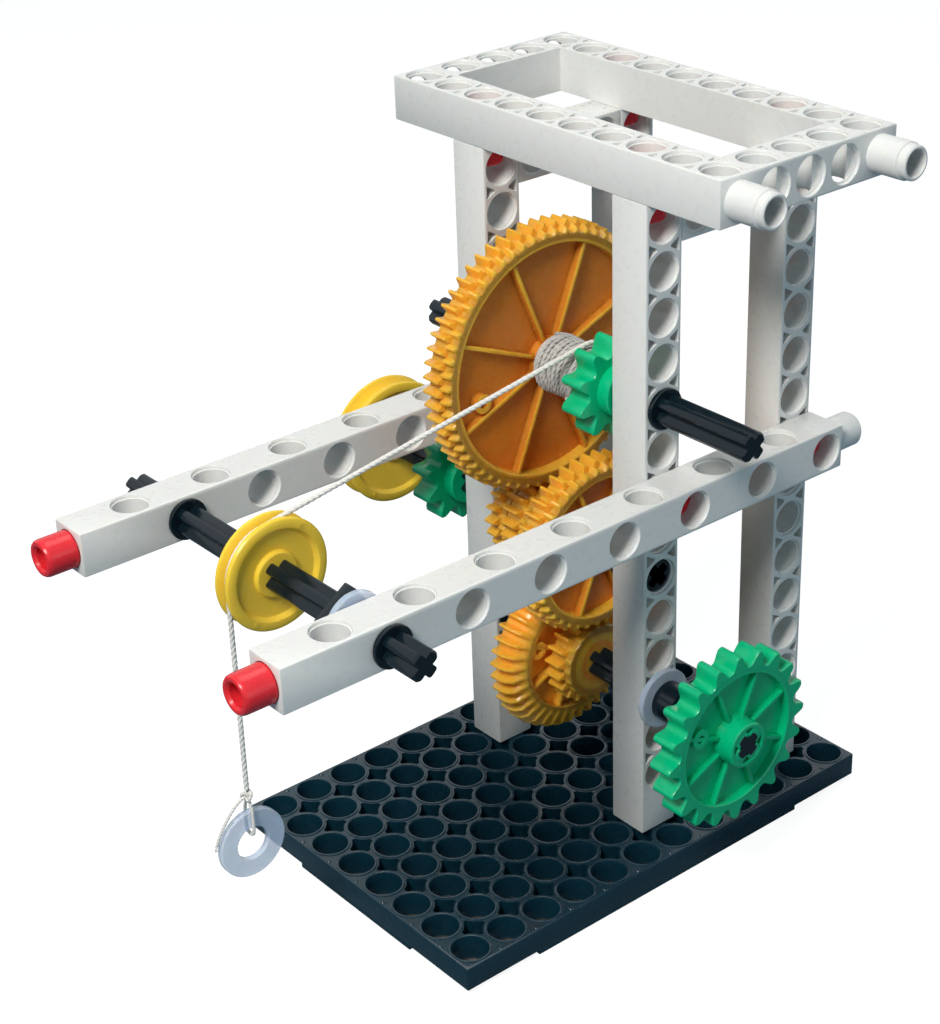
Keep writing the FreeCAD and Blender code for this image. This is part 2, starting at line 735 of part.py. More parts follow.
def biarc(start, start_way, end, end_way):
    """Two tangent arcs of equal reach between two points with directions."""
    gap = end - start
    ways = start_way + end_way
    flat = 2 * (1 - start_way.dot(end_way))
    reach = (-gap.dot(ways) + math.sqrt(gap.dot(ways) ** 2 + flat * gap.dot(gap))) / flat
    joint = (start + end + (start_way - end_way) * reach) * 0.5
    first, leaving = arc_to(start, start_way, joint)
    second, final = arc_to(joint, leaving, end)
    return [first, second]


def string_section(radius):
    """Corners of a few-sided section with the area of a round string's."""
    sides = count("string_sides")
    reach = radius * math.sqrt(2 * math.pi / sides / math.sin(2 * math.pi / sides))
    return regular(reach, sides, math.pi / sides)


def tube(edges, radius):
    """A string swept along joined edges."""
    spine = Part.Wire(edges)
    begin = edges[0].valueAt(edges[0].FirstParameter)
    way = edges[0].tangentAt(edges[0].FirstParameter)
    across = way.cross(Vector(0, 0, 1) if abs(way.z) < 0.9 else Vector(1, 0, 0))
    across.normalize()
    other = way.cross(across)
    profile = closed([begin + across * a + other * b for a, b in string_section(radius)])
    shell = Part.BRepOffsetAPI.MakePipeShell(spine)
    shell.add(profile)
    shell.build()
    shell.makeSolid()
    return shell.shape()


def drum_point(angle, radius, y):
    """A point round the winch shaft, the angle from the top towards +X."""
    return Vector(POST_X[0] + radius * math.sin(angle), y, WINCH_Z + radius * math.cos(angle))


def drum_way(angle, radius, rise):
    """Direction along a coil whose y grows by rise per radian."""
    way = Vector(radius * math.cos(angle), rise, -radius * math.sin(angle))
    way.normalize()
    return way


WINDING_START_Y = size("winch_gear_y") - size("string_diameter") / 2 - size("winding_gap")
WINDING_END_Y = WINDING_START_Y - size("winding_turns") * size("winding_pitch")


def winding_radius(y):
    """The drum of string tapers from the gear towards the sprocket."""
    share = (WINDING_START_Y - y) / (WINDING_START_Y - WINDING_END_Y)
    first = size("winding_radius_gear")
    return first + (size("winding_radius_sprocket") - first) * share


def string_core():
    """The inner layers of string, which the outer layer covers."""
    half = size("string_diameter") / 2
    front = size("winch_sprocket_y") + size("sprocket_width") + size("seat_clearance")
    back = size("winch_gear_y") - size("seat_clearance")
    seat = half + size("seat_clearance")
    cone = turned([(winding_radius(y) - seat, y) for y in (front, back)], count("round_sides"))
    feature("string_core", cone.cut(cross_bore(front, back - front)), (POST_X[0], 0, WINCH_Z))


def string_winding():
    """The outer layer, one unbroken coil of quarter-turn pairs of arcs."""
    quarter = math.pi / 2
    steps = count("winding_turns") * 4
    rise = -size("winding_pitch") / (2 * math.pi)
    nodes = []
    for index in range(steps + 1):
        angle = index * quarter
        y = WINDING_START_Y - index * size("winding_pitch") / 4
        nodes.append((drum_point(angle, winding_radius(y), y), drum_way(angle, winding_radius(y), rise)))
    edges = []
    for (here, way), (there, next_way) in zip(nodes, nodes[1:]):
        edges += biarc(here, way, there, next_way)
    return edges, tube(edges, size("string_diameter") / 2)


def self_gap(edges, diameter, turn_points):
    """Least free gap between points of the coil that are over half a turn apart."""
    points = []
    for edge in edges:
        points += edge.discretize(turn_points + 1)[:-1]
    apart = turn_points * 4
    least = min(
        points[i].distanceToPoint(points[k])
        for i in range(len(points)) for k in range(i + apart, min(len(points), i + 4 * apart))
    )
    return least - diameter


def string_run():
    """The free string: most of a turn over the winding, the straight run to
    the pulley and the wrap round its groove, down to where it hangs."""
    half = size("string_diameter") / 2
    leave_y = size("string_leave_y")
    drum = winding_radius(leave_y) + size("string_diameter") + size("string_lift")
    wheel = size("front_pulley_groove") + size("string_lift") + half
    hang = Vector(PULLEY_X - wheel, size("front_pulley_centre_y"), ARM_Z)
    dx = POST_X[0] - PULLEY_X
    dz = WINCH_Z - ARM_Z
    slope = math.atan2(dz, dx) + math.asin((drum - wheel) / math.hypot(dx, dz))
    leave = drum_point(-slope, drum, leave_y)
    land = Vector(PULLEY_X - wheel * math.sin(slope), size("front_pulley_centre_y"), ARM_Z + wheel * math.cos(slope))
    run_way = land - leave
    run_way.normalize()
    quarter = math.pi / 2
    rise = size("winding_pitch") / (2 * math.pi)
    edges = []
    nodes = []
    for index in range(4):
        angle = (3 - index) * quarter * 0.96 - slope
        y = leave_y - 0.25 * (3 - index)
        way = drum_way(angle, drum, -0.16) * -1
        nodes.append((drum_point(angle, drum, y), way))
    nodes[-1] = (leave, run_way)
    for (here, way), (there, next_way) in zip(nodes, nodes[1:]):
        edges += biarc(here, way, there, next_way)
    edges.append(Part.LineSegment(leave, land).toShape())
    edges += biarc(land, run_way, hang, Vector(0, 0, -1))
    solid = tube(edges, half)
    length = sum(edge.Length for edge in edges)
    print("string_run length", round(length, 2), "volume over section", round(solid.Volume / (math.pi * half ** 2), 2))
    print("string_run radii", [round(edge.Curve.Radius, 2) for edge in edges if hasattr(edge.Curve, "Radius")])
    feature("string_run", solid)
    return hang


def string_drop(hang):
    half = size("string_diameter") / 2
    low = size("knot_height") + size("knot_radius")
    ring = closed([Vector(a, b, 0) for a, b in string_section(half)])
    drop = Part.Face(ring).extrude(Vector(0, 0, hang.z - low))
    feature("string_drop", drop, (hang.x, hang.y, low))


def ring_weight(hang):
    """The washer on the string, and the knot with its loop and tail."""
    thick = size("weight_thickness")
    feature("weight_ring", washer_ring(thick), (hang.x, hang.y, size("weight_height")))
    thread = size("loop_radius")
    belly = size("knot_radius")
    knot = turned([(belly / 2, -belly), (belly, -belly / 2), (belly, belly / 2), (belly / 2, belly)], count("hole_sides"))
    knot.rotate(Vector(0, 0, 0), Vector(1, 0, 0), 90)
    knot.translate(Vector(hang.x, hang.y, size("knot_height")))
    clear = thick / 2 + thread + size("loop_clearance")
    low = size("weight_height") + size("hole_radius") - thread - size("loop_clearance")
    strands = []
    for side in (-1, 1):
        points = [
            Vector(hang.x, hang.y, size("knot_height")),
            Vector(hang.x, hang.y + side * clear, size("knot_height") - 3.2),
            Vector(hang.x, hang.y + side * clear, low - 0.2),
            Vector(hang.x, hang.y, low - 1.2),
        ]
        strands.append(tube(rounded(points, 0.45), thread))
    tail = [
        Vector(hang.x, hang.y, size("knot_height")),
        Vector(hang.x - 2.9, hang.y - 0.3, size("knot_height") - 1.6),
        Vector(hang.x - 6.2, hang.y - 0.4, size("knot_height") - 4.4),
        Vector(hang.x - 8.9, hang.y - 0.2, size("knot_height") - 9.4),
    ]
    strands.append(tube(rounded(tail, 0.45), size("tail_radius")))
    solid = knot.multiFuse(strands)
    feature("weight_knot", solid)


def rounded(points, share):
    """Straight runs joined by tangent arcs at each inner point."""
    edges = []
    here = points[0]
    for before, corner, after in zip(points, points[1:], points[2:]):
        into = corner - before
        out = after - corner
        cut = share * min(into.Length, out.Length)
        into.normalize()
        out.normalize()
        start = corner - into * cut
        end = corner + out * cut
        edges.append(Part.LineSegment(here, start).toShape())
        edges.append(arc_to(start, into, end)[0])
        here = end
    edges.append(Part.LineSegment(here, points[-1]).toShape())
    return edges


# Assembly.

SHAFT_LEVELS = ("crank_level", "lay_level", "winch_level")
SIDES = (("right", -1), ("left", 1))

base_plate()
for end, x, tie_side in (("front", POST_X[0], 1), ("rear", POST_X[1], -1)):
    for name, side in SIDES:
        shafts = SHAFT_LEVELS if end == "front" else ()
        post(f"post_{end}_{name}", x, side, tie_side, shafts)
        pin(f"foot_pin_{end}_{name}", (x, side * POST_Y, BASE_TOP - size("pin_length") / 2), UPRIGHT)
        pin(f"frame_pin_{end}_{name}", (x, side * POST_Y, POST_TOP - size("pin_length") / 2), UPRIGHT)
        joint_y = side * (POST_Y + HALF_BEAM) - size("pin_length") / 2
        pin(f"arm_pin_{end}_{name}", (x, joint_y, ARM_Z), TO_Y)
top_frame()
for name, side in SIDES:
    tie(f"tie_{name}", side)
    arm(f"arm_{name}", side)
    tip_pin(f"tip_pin_{name}", side)

RIGHT_FACE = -POST_Y - HALF_BEAM
LEFT_FACE = POST_Y - HALF_BEAM
axle("winch_axle", (POST_X[0], size("winch_axle_start"), WINCH_Z), "long_axle_length")
bush("winch_bush_right", POST_X[0], RIGHT_FACE, WINCH_Z)
bush("winch_bush_left", POST_X[0], LEFT_FACE, WINCH_Z)
wheel_spot = (POST_X[0], size("winch_gear_y"), WINCH_Z)
boss_spot = (size("wheel_boss_x"), size("wheel_boss_z"))
gear("winch_gear", count("wheel_teeth"), size("winch_gear_width"), wheel_spot, 0.0, boss_spot)
small_sprocket("winch_sprocket", (POST_X[0], size("winch_sprocket_y"), WINCH_Z))
string_core()
coil_edges, coil = string_winding()
print("string_winding self gap", round(self_gap(coil_edges, size("string_diameter"), 4), 3))
feature("string_winding", coil)

axle("lay_axle", (POST_X[0], size("lay_axle_start"), LAY_Z), "long_axle_length")
bush("lay_bush_right", POST_X[0], RIGHT_FACE + 2 * HALF_BEAM, LAY_Z, -1)
bush("lay_bush_left", POST_X[0], LEFT_FACE, LAY_Z)
front_y = size("lay_pinion_y")
gear("lay_pinion", count("pinion_teeth"), size("pinion_width"), (POST_X[0], front_y, LAY_Z), 0.5)
rear_y = front_y + size("pinion_width") + size("side_gap")
gear("lay_pinion_rear", count("pinion_teeth"), size("rear_pinion_width"), (POST_X[0], rear_y, LAY_Z), 0.0)
lay_spot = (POST_X[0], size("lay_gear_y"), LAY_Z)
boss_spot = (size("middle_boss_x"), size("middle_boss_z"))
gear("lay_gear", count("middle_teeth"), size("middle_gear_width"), lay_spot, 0.0, boss_spot)
small_sprocket("lay_sprocket", (POST_X[0], size("lay_sprocket_y"), LAY_Z))
large_pulley_y = size("lay_axle_start") + size("long_axle_length") - size("large_pulley_inset")
pulley("lay_pulley", "large", (POST_X[0], large_pulley_y, LAY_Z))

axle("crank_axle", (POST_X[0], size("crank_axle_start"), CRANK_Z), "crank_axle_length")
bush("crank_bush_right", POST_X[0], RIGHT_FACE + 2 * HALF_BEAM, CRANK_Z, -1)
bush("crank_bush_left", POST_X[0], LEFT_FACE, CRANK_Z)
crank_spot = (POST_X[0], size("crank_gear_y"), CRANK_Z)
gear("crank_gear", count("middle_teeth"), size("middle_gear_width"), crank_spot, 0.5, boss_spot)
pinion_spot = (POST_X[0], size("crank_pinion_y"), CRANK_Z)
gear("crank_pinion", count("pinion_teeth"), size("pinion_width"), pinion_spot, 0.5)
washer_y = RIGHT_FACE - size("side_gap") - size("washer_thickness")
washer("crank_washer", POST_X[0], washer_y, CRANK_Z)
collar_y = washer_y - size("washer_gap") - size("collar_length")
round_spacer("crank_collar", POST_X[0], collar_y, CRANK_Z, size("collar_radius"), size("collar_length"))
hand_wheel("hand_wheel", (POST_X[0], size("hand_wheel_y"), CRANK_Z))

axle("front_axle", (PULLEY_X, size("front_axle_start"), ARM_Z), "long_axle_length")
bush("front_bush_right", PULLEY_X, -ARM_Y - HALF_BEAM, ARM_Z)
bush("front_bush_left", PULLEY_X, ARM_Y - HALF_BEAM, ARM_Z)
pulley("front_pulley", "front", (PULLEY_X, size("front_pulley_centre_y"), ARM_Z))
inner_y = -ARM_Y + HALF_BEAM + size("side_gap")
washer("front_washer", PULLEY_X, inner_y, ARM_Z)
stop_y = inner_y + size("washer_thickness") + size("washer_gap")
square = prism_y(regular(size("stop_side") / math.sqrt(2), 4, math.radians(size("stop_turn"))), 0, size("stop_length"))
feature("front_stop", square.cut(cross_bore(0, size("stop_length"))), (PULLEY_X, stop_y, ARM_Z))

hang_point = string_run()
string_drop(hang_point)
ring_weight(hang_point)

doc.recompute()
for item in doc.Objects:
    if "Invalid" in item.State or "Error" in item.State:
        raise RuntimeError(f"{item.Label} failed: {item.State}")
for item in sub_parts:
    if item.Shape.isNull() or not item.Shape.isValid():
        raise RuntimeError(f"{item.Label} has no valid shape")
os.makedirs("parts", exist_ok=True)
for item in sub_parts:
    item.Shape.exportStep(f"parts/{item.Label}.step")
print(len(sub_parts), "sub-parts")
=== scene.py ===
import math
import random

import bmesh
import bpy
from mathutils import Matrix, Vector


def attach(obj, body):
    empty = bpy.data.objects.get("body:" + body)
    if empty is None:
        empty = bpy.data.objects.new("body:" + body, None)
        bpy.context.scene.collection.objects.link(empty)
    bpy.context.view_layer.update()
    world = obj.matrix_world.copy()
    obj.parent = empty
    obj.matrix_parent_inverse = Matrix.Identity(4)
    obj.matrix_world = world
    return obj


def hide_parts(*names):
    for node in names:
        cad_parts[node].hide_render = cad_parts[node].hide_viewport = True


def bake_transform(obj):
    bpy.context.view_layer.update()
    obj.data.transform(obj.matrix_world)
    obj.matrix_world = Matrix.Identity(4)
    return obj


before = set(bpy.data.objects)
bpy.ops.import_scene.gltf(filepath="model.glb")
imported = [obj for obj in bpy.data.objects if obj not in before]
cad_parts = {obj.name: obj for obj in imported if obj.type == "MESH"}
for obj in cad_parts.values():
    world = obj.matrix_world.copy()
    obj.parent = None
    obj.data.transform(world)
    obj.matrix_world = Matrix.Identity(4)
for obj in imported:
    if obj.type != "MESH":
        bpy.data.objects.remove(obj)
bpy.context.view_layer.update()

# Camera, light and stage. The view looks down over the arm tips from the hand
# wheel's side, with soft daylight from the upper left and a white surround.
MM = 0.001
VIEW_AZIMUTH = math.radians(-38.67)
VIEW_HEIGHT = math.radians(27.46)
VIEW_ROLL = math.radians(-2.04)
VIEW_POINT = Vector((-0.2813, -0.3229, 0.3012))

scene = bpy.context.scene
scene.view_settings.view_transform = "Standard"
scene.view_settings.look = "None"
scene.render.film_transparent = False
cycles = scene.cycles
cycles.max_bounces = 10
cycles.diffuse_bounces = 5
cycles.transmission_bounces = 6

back = Vector((
    math.sin(VIEW_AZIMUTH) * math.cos(VIEW_HEIGHT),
    -math.cos(VIEW_AZIMUTH) * math.cos(VIEW_HEIGHT),
    math.sin(VIEW_HEIGHT),
))
level = (-back).cross(Vector((0, 0, 1))).normalized()
above = level.cross(-back)
across = level * math.cos(VIEW_ROLL) + above * math.sin(VIEW_ROLL)
upright = above * math.cos(VIEW_ROLL) - level * math.sin(VIEW_ROLL)
lens = bpy.data.cameras.new("camera")
lens.lens = 76.46
lens.sensor_width = 36.0
lens.clip_end = 10.0
camera = bpy.data.objects.new("camera", lens)
facing = Matrix((across, upright, back)).transposed().to_4x4()
camera.matrix_world = Matrix.Translation(VIEW_POINT) @ facing
scene.collection.objects.link(camera)
scene.camera = camera


def maths(tree, operation, *values):
    """A math node's result, its inputs numbers or the sockets of other nodes."""
    node = tree.nodes.new("ShaderNodeMath")
    node.operation = operation
    for socket, value in zip(node.inputs, values):
        if isinstance(value, bpy.types.NodeSocket):
            tree.links.new(value, socket)
        else:
            socket.default_value = value
    return node.outputs[0]


world = bpy.data.worlds.new("surround")
scene.world = world
world.use_nodes = True
tree = world.node_tree
tree.nodes.clear()
out = tree.nodes.new("ShaderNodeOutputWorld")
soft = tree.nodes.new("ShaderNodeBackground")
soft.inputs["Color"].default_value = (0.64, 0.87, 1.0, 1)
soft.inputs["Strength"].default_value = 0.22
white = tree.nodes.new("ShaderNodeBackground")
white.inputs["Color"].default_value = (1, 1, 1, 1)
white.inputs["Strength"].default_value = 1.0
rays = tree.nodes.new("ShaderNodeLightPath")
pick = tree.nodes.new("ShaderNodeMixShader")
chosen = rays.outputs["Is Camera Ray"]
for kind in ("Is Glossy Ray", "Is Transmission Ray"):
    chosen = maths(tree, "MAXIMUM", chosen, rays.outputs[kind])
tree.links.new(chosen, pick.inputs[0])
tree.links.new(soft.outputs[0], pick.inputs[1])
tree.links.new(white.outputs[0], pick.inputs[2])
tree.links.new(pick.outputs[0], out.inputs[0])


def lamp(name, spot, target, width, power, colour):
    """A round area lamp in metres and watts, aimed at a target."""
    data = bpy.data.lights.new(name, "AREA")
    data.shape = "DISK"
    data.size = width
    data.energy = power
    data.color = colour
    item = bpy.data.objects.new(name, data)
    aim = Vector(target) - Vector(spot)
    item.matrix_world = Matrix.Translation(spot) @ aim.to_track_quat("-Z", "Y").to_matrix().to_4x4()
    scene.collection.objects.link(item)


lamp("key_light", (-0.57, -0.22, 0.72), (-0.02, 0, 0.08), 0.3, 6.9, (1.0, 0.975, 0.93))
lamp("fill_light", (0.1, -0.95, 0.25), (0, 0, 0.08), 0.6, 0.9, (0.66, 0.88, 1.0))
lamp("top_light", (0.15, 0.15, 0.9), (0, 0, 0.1), 0.5, 1.7, (1.0, 0.98, 0.94))


# Moulded plastics.


def noise(tree, place, scale, detail, distortion=0.0):
    """A noise texture over the piece's own coordinates."""
    texture = tree.nodes.new("ShaderNodeTexNoise")
    texture.inputs["Scale"].default_value = scale
    texture.inputs["Detail"].default_value = detail
    texture.inputs["Distortion"].default_value = distortion
    tree.links.new(place.outputs["Object"], texture.inputs["Vector"])
    return texture.outputs["Fac"]


def moulded_skin():
    """The node group that every plastic wears: its tint, roughness and grain."""
    group = bpy.data.node_groups.new("moulded_skin", "ShaderNodeTree")
    for label, kind in (
        ("Colour", "NodeSocketColor"), ("Shade", "NodeSocketColor"), ("Mottling", "NodeSocketFloat"),
        ("Roughness", "NodeSocketFloat"), ("Grain", "NodeSocketFloat"),
    ):
        group.interface.new_socket(label, in_out="INPUT", socket_type=kind)
    for label, kind in (
        ("Colour", "NodeSocketColor"), ("Roughness", "NodeSocketFloat"), ("Normal", "NodeSocketVector"),
    ):
        group.interface.new_socket(label, in_out="OUTPUT", socket_type=kind)
    nodes, links = group.nodes, group.links
    given = nodes.new("NodeGroupInput")
    result = nodes.new("NodeGroupOutput")
    place = nodes.new("ShaderNodeTexCoord")
    broad = noise(group, place, 90, 3)
    fine = noise(group, place, 2600, 2)
    streak = noise(group, place, 420, 4, 0.6)
    tint = nodes.new("ShaderNodeMix")
    tint.data_type = "RGBA"
    links.new(maths(group, "MULTIPLY", broad, given.outputs["Mottling"]), tint.inputs["Factor"])
    links.new(given.outputs["Colour"], tint.inputs["A"])
    links.new(given.outputs["Shade"], tint.inputs["B"])
    links.new(tint.outputs["Result"], result.inputs["Colour"])
    spread = nodes.new("ShaderNodeMapRange")
    spread.inputs["From Min"].default_value = 0.3
    spread.inputs["From Max"].default_value = 0.7
    spread.inputs["To Min"].default_value = -0.07
    spread.inputs["To Max"].default_value = 0.09
    links.new(streak, spread.inputs["Value"])
    rough = maths(group, "ADD", given.outputs["Roughness"], spread.outputs["Result"])
    rough.node.use_clamp = True
    links.new(rough, result.inputs["Roughness"])
    bump = nodes.new("ShaderNodeBump")
    bump.inputs["Distance"].default_value = 0.00004
    links.new(given.outputs["Grain"], bump.inputs["Strength"])
    links.new(fine, bump.inputs["Height"])
    links.new(bump.outputs["Normal"], result.inputs["Normal"])
    return group


SKIN = moulded_skin()


def plastic(
    name, colour, shade, mottling=0.4, roughness=0.3, grain=0.25, scatter=0.0, reach=2.0, gloss=0.35,
    alpha=1.0,
):
    """A moulded plastic; scatter lets light glow through it over the given reach in mm."""
    material = bpy.data.materials.new(name)
    material.use_nodes = True
    nodes, links = material.node_tree.nodes, material.node_tree.links
    shader = nodes["Principled BSDF"]
    skin = nodes.new("ShaderNodeGroup")
    skin.node_tree = SKIN
    skin.inputs["Colour"].default_value = (*colour, 1)
    skin.inputs["Shade"].default_value = (*shade, 1)
    skin.inputs["Mottling"].default_value = mottling
    skin.inputs["Roughness"].default_value = roughness
    skin.inputs["Grain"].default_value = grain
    links.new(skin.outputs["Colour"], shader.inputs["Base Color"])
    links.new(skin.outputs["Roughness"], shader.inputs["Roughness"])
    links.new(skin.outputs["Normal"], shader.inputs["Normal"])
    shader.inputs["IOR"].default_value = 1.5
    shader.inputs["Specular IOR Level"].default_value = gloss
    if scatter:
        shader.inputs["Subsurface Weight"].default_value = scatter
        shader.inputs["Subsurface Radius"].default_value = (1.0, 0.55, 0.25)
        shader.inputs["Subsurface Scale"].default_value = reach * MM
    shader.inputs["Alpha"].default_value = alpha
    return material


# Upright posts: square beams of white moulded plastic, fifteen holes long,
# each hole with a shallow counterbore and small triangular pockets between
# neighbouring holes that keep the wall even.

BEAM = plastic(
    "beam_plastic", (0.76, 0.755, 0.735), (0.72, 0.72, 0.705),
    mottling=0.12, roughness=0.30, grain=0.1, scatter=0.12, reach=1.5,
)
CELL = 10.0
HALF = CELL / 2
HOLE = 3.85
BEAM_EDGE = 0.35
OVERCUT = 0.3
ROUND = 36
UP = Matrix.Identity(4)
DOWN = Matrix.Rotation(math.pi, 4, "X")
ALONG_X = Matrix.Rotation(math.radians(90), 4, "Y")
ALONG_Y = Matrix.Rotation(math.radians(-90), 4, "X")
AGAINST_Y = Matrix.Rotation(math.radians(90), 4, "X")
SIDES = (("right", -1), ("left", 1))


def baked(name, bm):
    """The mesh of a finished bmesh, which is freed."""
    mesh = bpy.data.meshes.new(name)
    bm.to_mesh(mesh)
    bm.free()
    return mesh


def turned(profile, steps=ROUND, closed=False):
    """A template mesh spun about Z from (radius, height) pairs in millimetres."""
    bm = bmesh.new()
    line = [bm.verts.new((radius, 0, height)) for radius, height in profile]
    pairs = list(zip(line, line[1:])) + ([(line[-1], line[0])] if closed else [])
    runs = [bm.edges.new(pair) for pair in pairs]
    bmesh.ops.spin(
        bm, geom=line + runs, cent=(0, 0, 0), axis=(0, 0, 1), angle=math.tau, steps=steps, use_merge=True,
    )
    bmesh.ops.remove_doubles(bm, verts=bm.verts, dist=1e-4)
    bmesh.ops.recalc_face_normals(bm, faces=bm.faces)
    return baked("turned", bm)


def put(bm, mesh, spot=(0, 0, 0), turn=UP):
    """Adds a template to a piece, turned and then moved, in millimetres."""
    first = len(bm.verts)
    bm.from_mesh(mesh)
    bm.verts.ensure_lookup_table()
    bmesh.ops.transform(bm, matrix=Matrix.Translation(spot) @ turn, verts=bm.verts[first:])


def block(bm, low, high, edge=0.0):
    """A box between two corners, its edges bevelled."""
    low, high = Vector(low), Vector(high)
    grow = Matrix.Diagonal((*(high - low), 1))
    made = bmesh.ops.create_cube(bm, size=1, matrix=Matrix.Translation((low + high) / 2) @ grow)
    if edge:
        edges = list({e for v in made["verts"] for e in v.link_edges})
        bmesh.ops.bevel(bm, geom=edges, offset=edge, segments=2, profile=0.5, affect="EDGES", material=-1)


def carved(body, cutters):
    """The first mesh less the second, as a new bmesh."""
    items = []
    for name, bm in (("carved", body), ("cutters", cutters)):
        items.append(bpy.data.objects.new(name, baked(name, bm)))
        scene.collection.objects.link(items[-1])
    cut = items[0].modifiers.new("cut", "BOOLEAN")
    cut.operation = "DIFFERENCE"
    cut.solver = "EXACT"
    cut.object = items[1]
    bpy.context.view_layer.update()
    whole = bpy.data.meshes.new_from_object(items[0].evaluated_get(bpy.context.evaluated_depsgraph_get()))
    for item in items:
        bpy.data.objects.remove(item)
    bm = bmesh.new()
    bm.from_mesh(whole)
    return bm


def piece(name, bm, material, body, nodes=(), sharp=32):
    """Finishes a mesh made in millimetres as a piece that rides on a body."""
    bmesh.ops.scale(bm, vec=(MM, MM, MM), verts=bm.verts)
    mesh = baked(name, bm)
    mesh.polygons.foreach_set("use_smooth", [True] * len(mesh.polygons))
    mesh.set_sharp_from_angle(angle=math.radians(sharp))
    mesh.materials.append(material)
    item = bpy.data.objects.new(name, mesh)
    scene.collection.objects.link(item)
    if body:
        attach(item, body)
    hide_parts(*(nodes or [name.removesuffix("_form")]))
    return item


def pocket(bm, spot, turn, wide=1.5, depth=2.5):
    """The pair of triangular pockets beside the joint of two cells."""
    for side in (1, -1):
        corners = [(4.2, wide), (1.9, 0.25), (1.9, -0.25), (4.2, -wide)]
        ring = [bm.verts.new((side * x, y, -OVERCUT)) for x, y in corners]
        made = bmesh.ops.extrude_face_region(bm, geom=[bm.faces.new(ring)])
        risen = [v for v in made["geom"] if isinstance(v, bmesh.types.BMVert)]
        bmesh.ops.translate(bm, vec=(0, 0, depth + OVERCUT), verts=risen)
        bmesh.ops.transform(bm, matrix=Matrix.Translation(spot) @ turn, verts=ring + risen)
        faces = list({f for v in ring + risen for f in v.link_faces})
        bmesh.ops.recalc_face_normals(bm, faces=faces)


MOUTH = [(0, -OVERCUT), (4.48, -OVERCUT), (4.18, 0.12), (4.12, 0.7), (HOLE, 0.78)]
THROUGH = turned(MOUTH + [(radius, CELL - height) for radius, height in reversed(MOUTH)])
SOCKET = turned(MOUTH + [(HOLE, 5.4), (0, 5.4)])
POST_CELLS = 15
POST_FOOT = 7.0
POST_TOP = POST_FOOT + POST_CELLS * CELL
POST_X = (5.0, 45.0)
POST_Y = 25.0

for end, x in zip(("front", "rear"), POST_X):
    for name, side in SIDES:
        y = side * POST_Y
        bar = bmesh.new()
        block(bar, (x - HALF, y - HALF, POST_FOOT), (x + HALF, y + HALF, POST_TOP), BEAM_EDGE)
        cutters = bmesh.new()
        for cell in range(1, POST_CELLS):
            put(cutters, THROUGH, (x, y - HALF, POST_FOOT + (cell + 0.5) * CELL), ALONG_Y)
        for joint in range(2, POST_CELLS):
            z = POST_FOOT + joint * CELL
            pocket(cutters, (x, y - HALF, z), ALONG_Y)
            pocket(cutters, (x, y + HALF, z), AGAINST_Y)
        shaped = carved(bar, cutters)
        ends = bmesh.new()
        put(ends, SOCKET, (x, y, POST_FOOT))
        put(ends, SOCKET, (x, y, POST_TOP), DOWN)
        piece(f"post_{end}_{name}_form", carved(shaped, ends), BEAM, "stand")


# Long arms: two beams of the same plastic laid along the posts, with holes
# across and holes upright by turns, a socket in the tip and a hollow stud
# at the rear.

ARM_X = -100.0
ARM_CELLS = 15
ARM_END = ARM_X + ARM_CELLS * CELL
ARM_Z = 92.0
ARM_Y = 35.0
STUD = turned([(2.8, 0), (2.8, 7.6), (3.1, 8.0), (3.55, 8.0), (3.9, 7.5), (3.9, -1), (2.8, -1)], closed=True)

for name, side in SIDES:
    y = side * ARM_Y
    bar = bmesh.new()
    block(bar, (ARM_X, y - HALF, ARM_Z - HALF), (ARM_END, y + HALF, ARM_Z + HALF), BEAM_EDGE)
    cutters = bmesh.new()
    put(cutters, SOCKET, (ARM_X, y, ARM_Z), ALONG_X)
    for cell in range(1, ARM_CELLS):
        x = ARM_X + (cell + 0.5) * CELL
        if cell % 2 == 0:
            put(cutters, THROUGH, (x, y - HALF, ARM_Z), ALONG_Y)
        else:
            put(cutters, THROUGH, (x, y, ARM_Z - HALF))
    shaped = carved(bar, cutters)
    put(shaped, STUD, (ARM_END, y, ARM_Z), ALONG_X)
    piece(f"arm_{name}_form", shaped, BEAM, "stand")


# Top frame: one moulding of the same plastic, five cells by ten, with an open
# window, upright holes all round, bores in its ends and two hollow studs on
# the right. It lies on the posts and is held by pins.

FRAME_LONG = 10
FRAME_WIDE = 5
FRAME_END = FRAME_LONG * HALF
FRAME_REAR = FRAME_WIDE * CELL
FRAME_TOP = POST_TOP + CELL
FRAME_MIDDLE = POST_TOP + HALF
SHALLOW = {"wide": 0.9, "depth": 0.8}
ACROSS = Matrix.Rotation(math.pi / 2, 4, "Z")
END_BORE = turned(MOUTH + [(HOLE, 2.0), (0, 2.0)])
FRAME_STUD = turned(
    [(2.8, -1), (4.0, -1), (4.0, 7.4), (3.7, 7.6), (3.65, 9.2), (3.35, 9.5), (3.0, 9.5), (2.8, 9.2)],
    closed=True,
)

